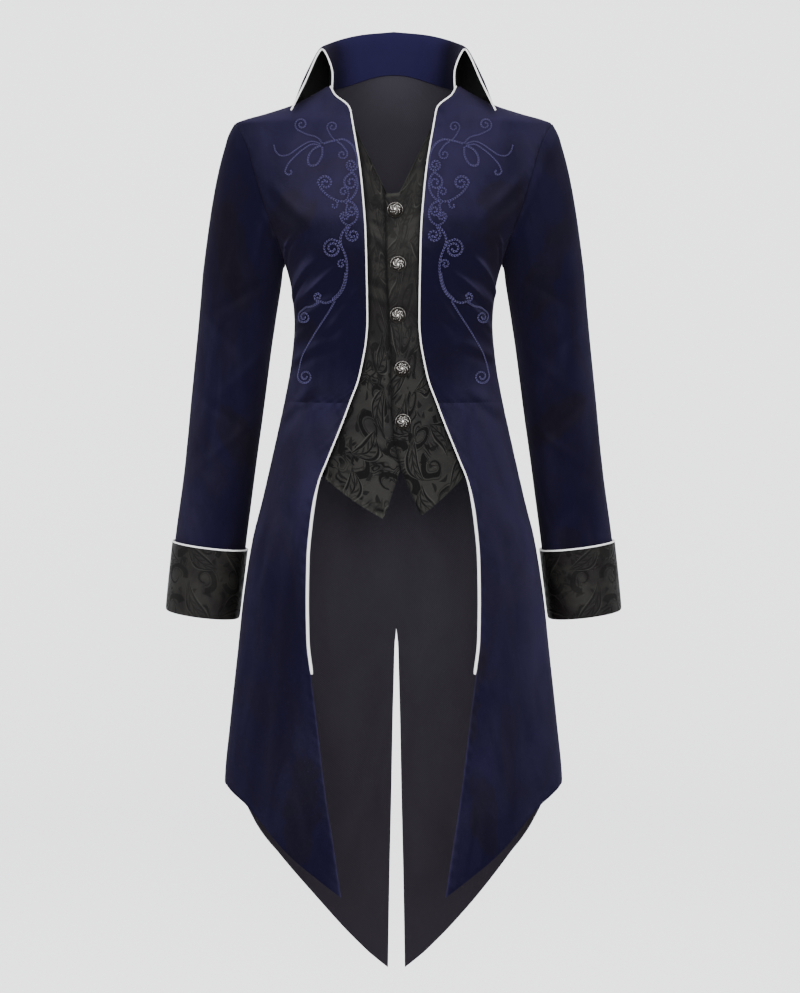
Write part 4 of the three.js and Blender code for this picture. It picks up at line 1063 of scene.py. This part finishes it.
def cord_mesh(name, points, thickness, ring):
    """Three round strands laid about a line. Strand k's middle turns about it by 2 pi (s / LAY + k / 3) at
    length s. The thickness is a function of z, and the groove between the strands is marked for the
    material, which paints shade there."""
    path = np.concatenate([points, points[:1]]) if ring else points
    reach = running_length(path)
    count = int(reach[-1] / CORD_STEP)
    lay = reach[-1] / max(round(reach[-1] / LAY), 1)
    s = np.linspace(0, reach[-1], count, endpoint=not ring)
    at = read_along(path, reach, s)
    ahead = unit(np.roll(at, -1, 0) - np.roll(at, 1, 0)) if ring else unit(np.gradient(at, axis=0))
    side = unit(np.cross(ahead, np.array([0.12, -1, 0.2])))
    other = np.cross(ahead, side)
    size = thickness(at[:, 2])[:, None, None]
    around = 2 * np.pi * np.arange(STRAND_SIDES) / STRAND_SIDES
    vertices, faces, grooves = [], [], []
    for strand in range(3):
        phase = 2 * np.pi * (s / lay + strand / 3)
        off = (side * np.cos(phase)[:, None] + other * np.sin(phase)[:, None])[:, None]
        tube = side[:, None] * np.cos(around)[:, None] + other[:, None] * np.sin(around)[:, None]
        from_middle = 0.5 * off + 0.56 * tube
        rows = at[:, None] + size * CORD_RADIUS * from_middle
        # Painted shade in the grooves between the strands.
        grooves.append(np.clip((1.02 - np.linalg.norm(from_middle, axis=-1)) / 0.3, 0, 1).ravel())
        index = np.arange(count * STRAND_SIDES).reshape(count, STRAND_SIDES) + strand * count * STRAND_SIDES
        if ring:
            index = np.concatenate([index, index[:1]])
        a, b = index[:-1], index[1:]
        faces += np.stack([a, np.roll(a, -1, 1), np.roll(b, -1, 1), b], -1).reshape(-1, 4).tolist()
        if not ring:
            faces += [index[0, ::-1].tolist(), index[-1].tolist()]
        vertices.append(rows.reshape(-1, 3))
    mesh = bpy.data.meshes.new(name)
    mesh.from_pydata((np.concatenate(vertices) * MM).tolist(), [], faces)
    write_number(mesh, "groove", np.concatenate(grooves))
    return mesh


def beside_edge(outer, inner):
    """The line just outside a grid's first column, level with the middle of its wall."""
    edge, near = (outer[:, 0] + inner[:, 0]) / 2, (outer[:, 2] + inner[:, 2]) / 2
    ahead = unit(np.gradient(edge, axis=0))
    away = edge - near
    away = unit(away - ahead * (away * ahead).sum(-1, keepdims=True))
    return edge + away * (CORD_RADIUS + 0.25)


white_cord = Finish("white_cord", Roughness=0.62, Sheen_Weight=0.2, Specular_IOR_Level=0.3)
# Painted shade: in the grooves the cotton mixes to near black.
groove = white_cord.number("groove")
cotton = white_cord.mix(white_cord.noise(300, 2), (0.54, 0.535, 0.53, 1), (0.66, 0.655, 0.655, 1))
white_cord.feed("Base Color", white_cord.mix(groove, cotton, (0.09, 0.087, 0.10, 1)))
front_places = np.concatenate([bodice_places, skirt_places[skirt_places[:, 0, 1] > CORD_END]])
front_line = beside_edge(cloth_point(front_places, 0), cloth_point(front_places, -VELVET_WALL))
collar_line = beside_edge(collar_points[:, ::-1], collar_inner[:, ::-1])
cuff_line = (cuff[0] + cuff_inner[0]) / 2 + UP_ARM * (CORD_RADIUS + 0.2)


def front_thickness(z):
    """Thicker below the waistcoat, and drawn in at the lower end."""
    return (0.8 + 0.7 * rise_between(480, 520, -z)) * (1 - 0.45 * rise_between(-CORD_END - 8, -CORD_END, -z))


def edge_thickness(z):
    return np.full(z.shape, 0.85)


for side, word in SIDES:
    mirror = np.array([side, 1, 1])
    for name, points, thickness, ring in (
        ("front_cord", front_line, front_thickness, False),
        ("collar_cord", collar_line, edge_thickness, False),
        ("cuff_cord", cuff_line, edge_thickness, True),
    ):
        mesh = cord_mesh(f"white_{name}_{word}", points * mirror, thickness, ring)
        add_piece(mesh, white_cord.material, "cord", f"{name}_{word}")

# Embroidery: scrolls of violet-blue chain stitch on each front, from the shoulder down beside the edge to
# the waist. They are drawn as the camera sees the wearer's right front, across and down the picture, and
# laid on the cloth there; the other front has their mirror image.
THREAD_LIFT, THREAD_WIDTH = 0.35, 1.15
PICTURE_MIDDLE = np.array([400, 496.5])
STITCH_SHARE, LOOP_POINTS, THREAD_SIDES = 1.32, 8, 4
# Each scroll: the width of its stitches, its stem from the vine outwards, then the middle of the spiral that
# it ends in and the turns of that, clockwise, or nothing
SCROLLS = (
    (1.6, [(323, 144), (317, 137.5), (307, 134.5), (299.5, 131)], (301.5, 124.5), 1.5),
    (1.5, [(335.5, 141), (331, 136), (328.3, 131)], (332.5, 127), 1.35),
    (1.5, [(321, 144), (312, 141.5), (304, 144.5), (296, 150), (288, 155), (280.5, 155.5), (276, 151.5),
           (274, 145)], None, 0),
    (1.6, [(320, 145.5), (312, 144.5), (304, 149), (295, 156.5), (288, 164.5), (285.3, 171)],
           (289.8, 171.5), -0.7),
    (2.0, [(322, 145.5), (314, 149), (308.5, 157), (309.5, 165), (316, 165), (322, 156),
           (322.5, 147)], None, 0),
    (2.0, [(323, 144), (329, 142), (336, 140.5), (343, 139.5), (350, 143), (355, 150), (357.3, 158),
           (357.6, 165)],
     (351.4, 165), 1.7),
    (1.6, [(337, 141.5), (342, 145), (345.5, 149.8)], (342.3, 154.4), 1.25),
    (2.0, [(351.5, 171.5), (355.7, 176.5), (357.6, 184), (356, 192), (351.5, 198.5),
           (345.5, 201.5)], None, 0),
    (2.0, [(352.5, 171.8), (347.5, 176)], (351, 182.5), -1.35),
    (1.7, [(345.5, 201), (348.6, 195.5), (347.6, 188.8)], (344, 191.8), -1.1),
    (2.2, [(346, 201.5), (338, 201), (330, 197), (322.5, 190.5), (318, 183)], (325.6, 183), 1.45),
    (1.7, [(337.5, 201), (337.4, 205)], (333.9, 205.4), 0.7),
    (2.0, [(346, 201), (352, 202.5), (356.5, 208), (357.6, 215), (355, 221.5), (349.5, 225.5)], None, 0),
    (1.9, [(345.5, 202), (347.6, 206.2)], (351.6, 210.5), -1.5),
    (1.9, [(349.5, 226), (343.5, 222.5), (340.3, 217)], (344.9, 216.5), 1.5),
    (2.2, [(350, 226), (346.8, 232)], (352.8, 235), -1.55),
    (2.4, [(348, 226), (342.5, 233), (340.5, 240), (342, 247), (345, 254), (347, 263), (346.8, 275),
           (344.8, 285),
           (340.5, 293.5), (333.5, 300), (326.5, 302.6), (320.3, 300.8)], (318.6, 296.6), 1.3),
    (2.2, [(341.5, 247), (338, 241.5), (332, 239.2)], (332.6, 248.4), -1.75),
    (1.9, [(346.5, 262), (343.5, 260.2)], (341.6, 264), -1.1),
    (2.4, [(346, 272), (344, 283), (340, 292), (333, 299)], None, 0),
    (2.1, [(320.5, 301.5), (313, 306), (306.5, 307.4), (301.6, 311)], (305.3, 316.6), -1.7),
    (2.0, [(335.5, 300.5), (327, 315), (316, 332), (307, 348), (300.8, 362), (298.5, 373)],
           (305.4, 376.5), -1.6),
)


def drawn_path(stem, middle, turns):
    """The stem's smooth curve, and then a spiral from its end whose radius shrinks evenly to a fifth."""
    stem = np.array(stem, float)
    curve = smooth_through(stem, np.linspace(0, len(stem) - 1, 12 * len(stem)))
    if middle is None:
        return curve
    start = stem[-1] - middle
    t = np.linspace(0, 1, 90)[1:]
    angle = np.arctan2(start[1], start[0]) + 2 * np.pi * turns * t
    radius = np.hypot(*start) * (1 - 0.8 * t)
    spiral = radius[:, None] * np.stack([np.cos(angle), np.sin(angle)], -1)
    return np.concatenate([curve, np.array(middle) + spiral])


def on_front(drawn):
    """The places of the front that the camera sees at the drawn points: the ray of each is followed to the
    depth of the form there, which is found in a few rounds."""
    ahead = np.array(CAMERA_AIM - CAMERA_AT)
    ahead = ahead / np.linalg.norm(ahead)
    upward = np.cross([1.0, 0, 0], ahead)
    pixel = PICTURE_HEIGHT / PICTURE_ROWS / (CAMERA_AIM - CAMERA_AT).length
    off = (drawn - PICTURE_MIDDLE) * pixel
    ray = ahead + off[:, :1] * np.array([1.0, 0, 0]) - off[:, 1:] * upward
    depth = np.full(len(drawn), -100.0)
    for _ in range(6):
        far = (depth * MM - CAMERA_AT.y) / ray[:, 1]
        seen = (np.array(CAMERA_AT) + ray * far[:, None]) / MM
        found = place_at(seen[:, 0], seen[:, 2])
        depth = form_point(found)[:, 1]
    return found


def stitched(found, width):
    """Chain stitches along a line of places: each is a small loop of thread, pointed ahead, whose tail lies
    under the loop before it. Loop angle p gives long cos(p) along the line and wide sin(p) across it."""
    reach = running_length(cloth_point(found, 0))
    count = max(int(reach[-1] / (width * STITCH_SHARE)), 2)
    s = (np.arange(count) + 0.5) * reach[-1] / count
    place, later, sooner = (read_along(found, reach, s + off) for off in (0, 0.5, -0.5))
    at, normal = cloth_point(place, THREAD_LIFT), form_normal(place)
    ahead = unit(cloth_point(later, 0) - cloth_point(sooner, 0))
    across = unit(np.cross(normal, ahead))
    p = np.linspace(0, 2 * np.pi, LOOP_POINTS, endpoint=False)
    q = np.linspace(0, 2 * np.pi, THREAD_SIDES, endpoint=False)
    radius = width * 0.15
    long, wide = width * 0.56, width * 0.42
    loop = (at[:, None] + ahead[:, None] * (long * np.cos(p))[:, None]
            + across[:, None] * (wide * np.sin(p) * (1 - 0.35 * np.cos(p)))[:, None]
            + normal[:, None] * (0.22 * width * (0.5 - 0.5 * np.cos(p)))[:, None])
    outwards = ahead[:, None] * (np.cos(p) * wide)[:, None] + across[:, None] * (np.sin(p) * long)[:, None]
    outwards = unit(outwards)
    tube = (outwards[:, :, None] * np.cos(q)[:, None] + normal[:, None, None] * np.sin(q)[:, None]) * radius
    return (loop[:, :, None] + tube).reshape(-1, LOOP_POINTS, THREAD_SIDES, 3)


def stitches_mesh(name, side):
    blocks = []
    for width, stem, middle, turns in SCROLLS:
        found = on_front(drawn_path(stem, middle, turns)) * np.array([-side, 1])
        blocks.append(stitched(found, width * THREAD_WIDTH))
    loops = np.concatenate(blocks)
    index = np.arange(loops[..., 0].size).reshape(loops.shape[:3])
    after, around = np.roll(index, -1, 1), np.roll(index, -1, 2)
    faces = np.stack([index, after, np.roll(after, -1, 2), around], -1).reshape(-1, 4)
    mesh = bpy.data.meshes.new(name)
    mesh.from_pydata((loops.reshape(-1, 3) * MM).tolist(), [], faces.tolist())
    # Painted shade: each loop darkens towards its tail, which lies under the loop before it.
    tail = 0.5 - 0.5 * np.cos(np.linspace(0, 2 * np.pi, LOOP_POINTS, endpoint=False))
    write_number(mesh, "tail", np.tile(np.repeat(tail, THREAD_SIDES), len(loops)))
    return mesh


thread = Finish("violet_thread", Roughness=0.5, Sheen_Weight=0.02, Specular_IOR_Level=0.12)
silk = thread.mix(thread.noise(500, 2), (0.0230, 0.0195, 0.0600, 1), (0.0480, 0.0410, 0.1150, 1))
# Painted shade at the tail of each loop: the silk mixes to near black there.
tail = thread.number("tail")
thread.feed("Base Color", thread.mix(tail.between(0.25, 0.9), silk, (0.0022, 0.0018, 0.0075, 1)))
for side, word in SIDES:
    add_piece(stitches_mesh(f"embroidery_{word}", side), thread.material, "velvet")

# Floor and light: a pale floor that curves up into a pale wall, under large soft lights.
FLOOR_Z, FLOOR_FRONT, BEND_START, BEND_SIZE, WALL_TOP, HALF_WIDTH = -1.52, -6, 3.2, 1.6, 6.5, 8
STUDIO_GREY = (0.945, 0.945, 0.945, 1)
run = np.linspace(0, 1, 60)
bend_y = BEND_START + BEND_SIZE * np.sin(run * np.pi / 2)
sweep_y = np.concatenate([np.linspace(FLOOR_FRONT, BEND_START, 12), bend_y, [BEND_START + BEND_SIZE]])
sweep_z = np.concatenate([np.zeros(12), BEND_SIZE * (1 - np.cos(run * np.pi / 2)), [WALL_TOP]]) + FLOOR_Z
sweep = bpy.data.meshes.new("studio_sweep")
ends = [(x, y, z) for x in (-HALF_WIDTH, HALF_WIDTH) for y, z in zip(sweep_y, sweep_z)]
half = len(sweep_y)
sweep.from_pydata(ends, [], [(i, half + i, half + i + 1, i + 1) for i in range(half - 1)])
studio = bpy.data.objects.new("studio_sweep", sweep)
sweep.polygons.foreach_set("use_smooth", np.ones(len(sweep.polygons), bool))
paper = Finish("studio_paper", Roughness=0.95, Base_Color=STUDIO_GREY)
sweep.materials.append(paper.material)
bpy.context.collection.objects.link(studio)

# Name, place, aim, size and power
LIGHTS = (
    ("front_light", (0.1, -3.7, 0.25), (0, 0, -0.5), (1.3, 1.3), 190),
    ("left_light", (-1.9, -3.3, 0.7), (0, 0, -0.5), (1.6, 2.4), 125),
    ("right_light", (2.0, -3.2, 0.4), (0, 0, -0.6), (1.6, 2.4), 90),
    ("top_light", (0, -0.5, 2.3), (0, 0.2, -0.6), (2.6, 2.6), 80),
)
for name, at, aim, size, power in LIGHTS:
    light = bpy.data.lights.new(name, "AREA")
    light.shape, light.size, light.size_y, light.energy = "RECTANGLE", size[0], size[1], power
    lamp = bpy.data.objects.new(name, light)
    lamp.location = at
    lamp.rotation_euler = (Vector(aim) - Vector(at)).to_track_quat("-Z", "Y").to_euler()
    bpy.context.collection.objects.link(lamp)

SKY, SKY_STRENGTH = (0.95, 0.96, 1.0, 1), 2.05
world = bpy.data.worlds.new("studio_light")
bpy.context.scene.world = world
world.use_nodes = True
world.node_tree.nodes["Background"].inputs["Color"].default_value = SKY
world.node_tree.nodes["Background"].inputs["Strength"].default_value = SKY_STRENGTH
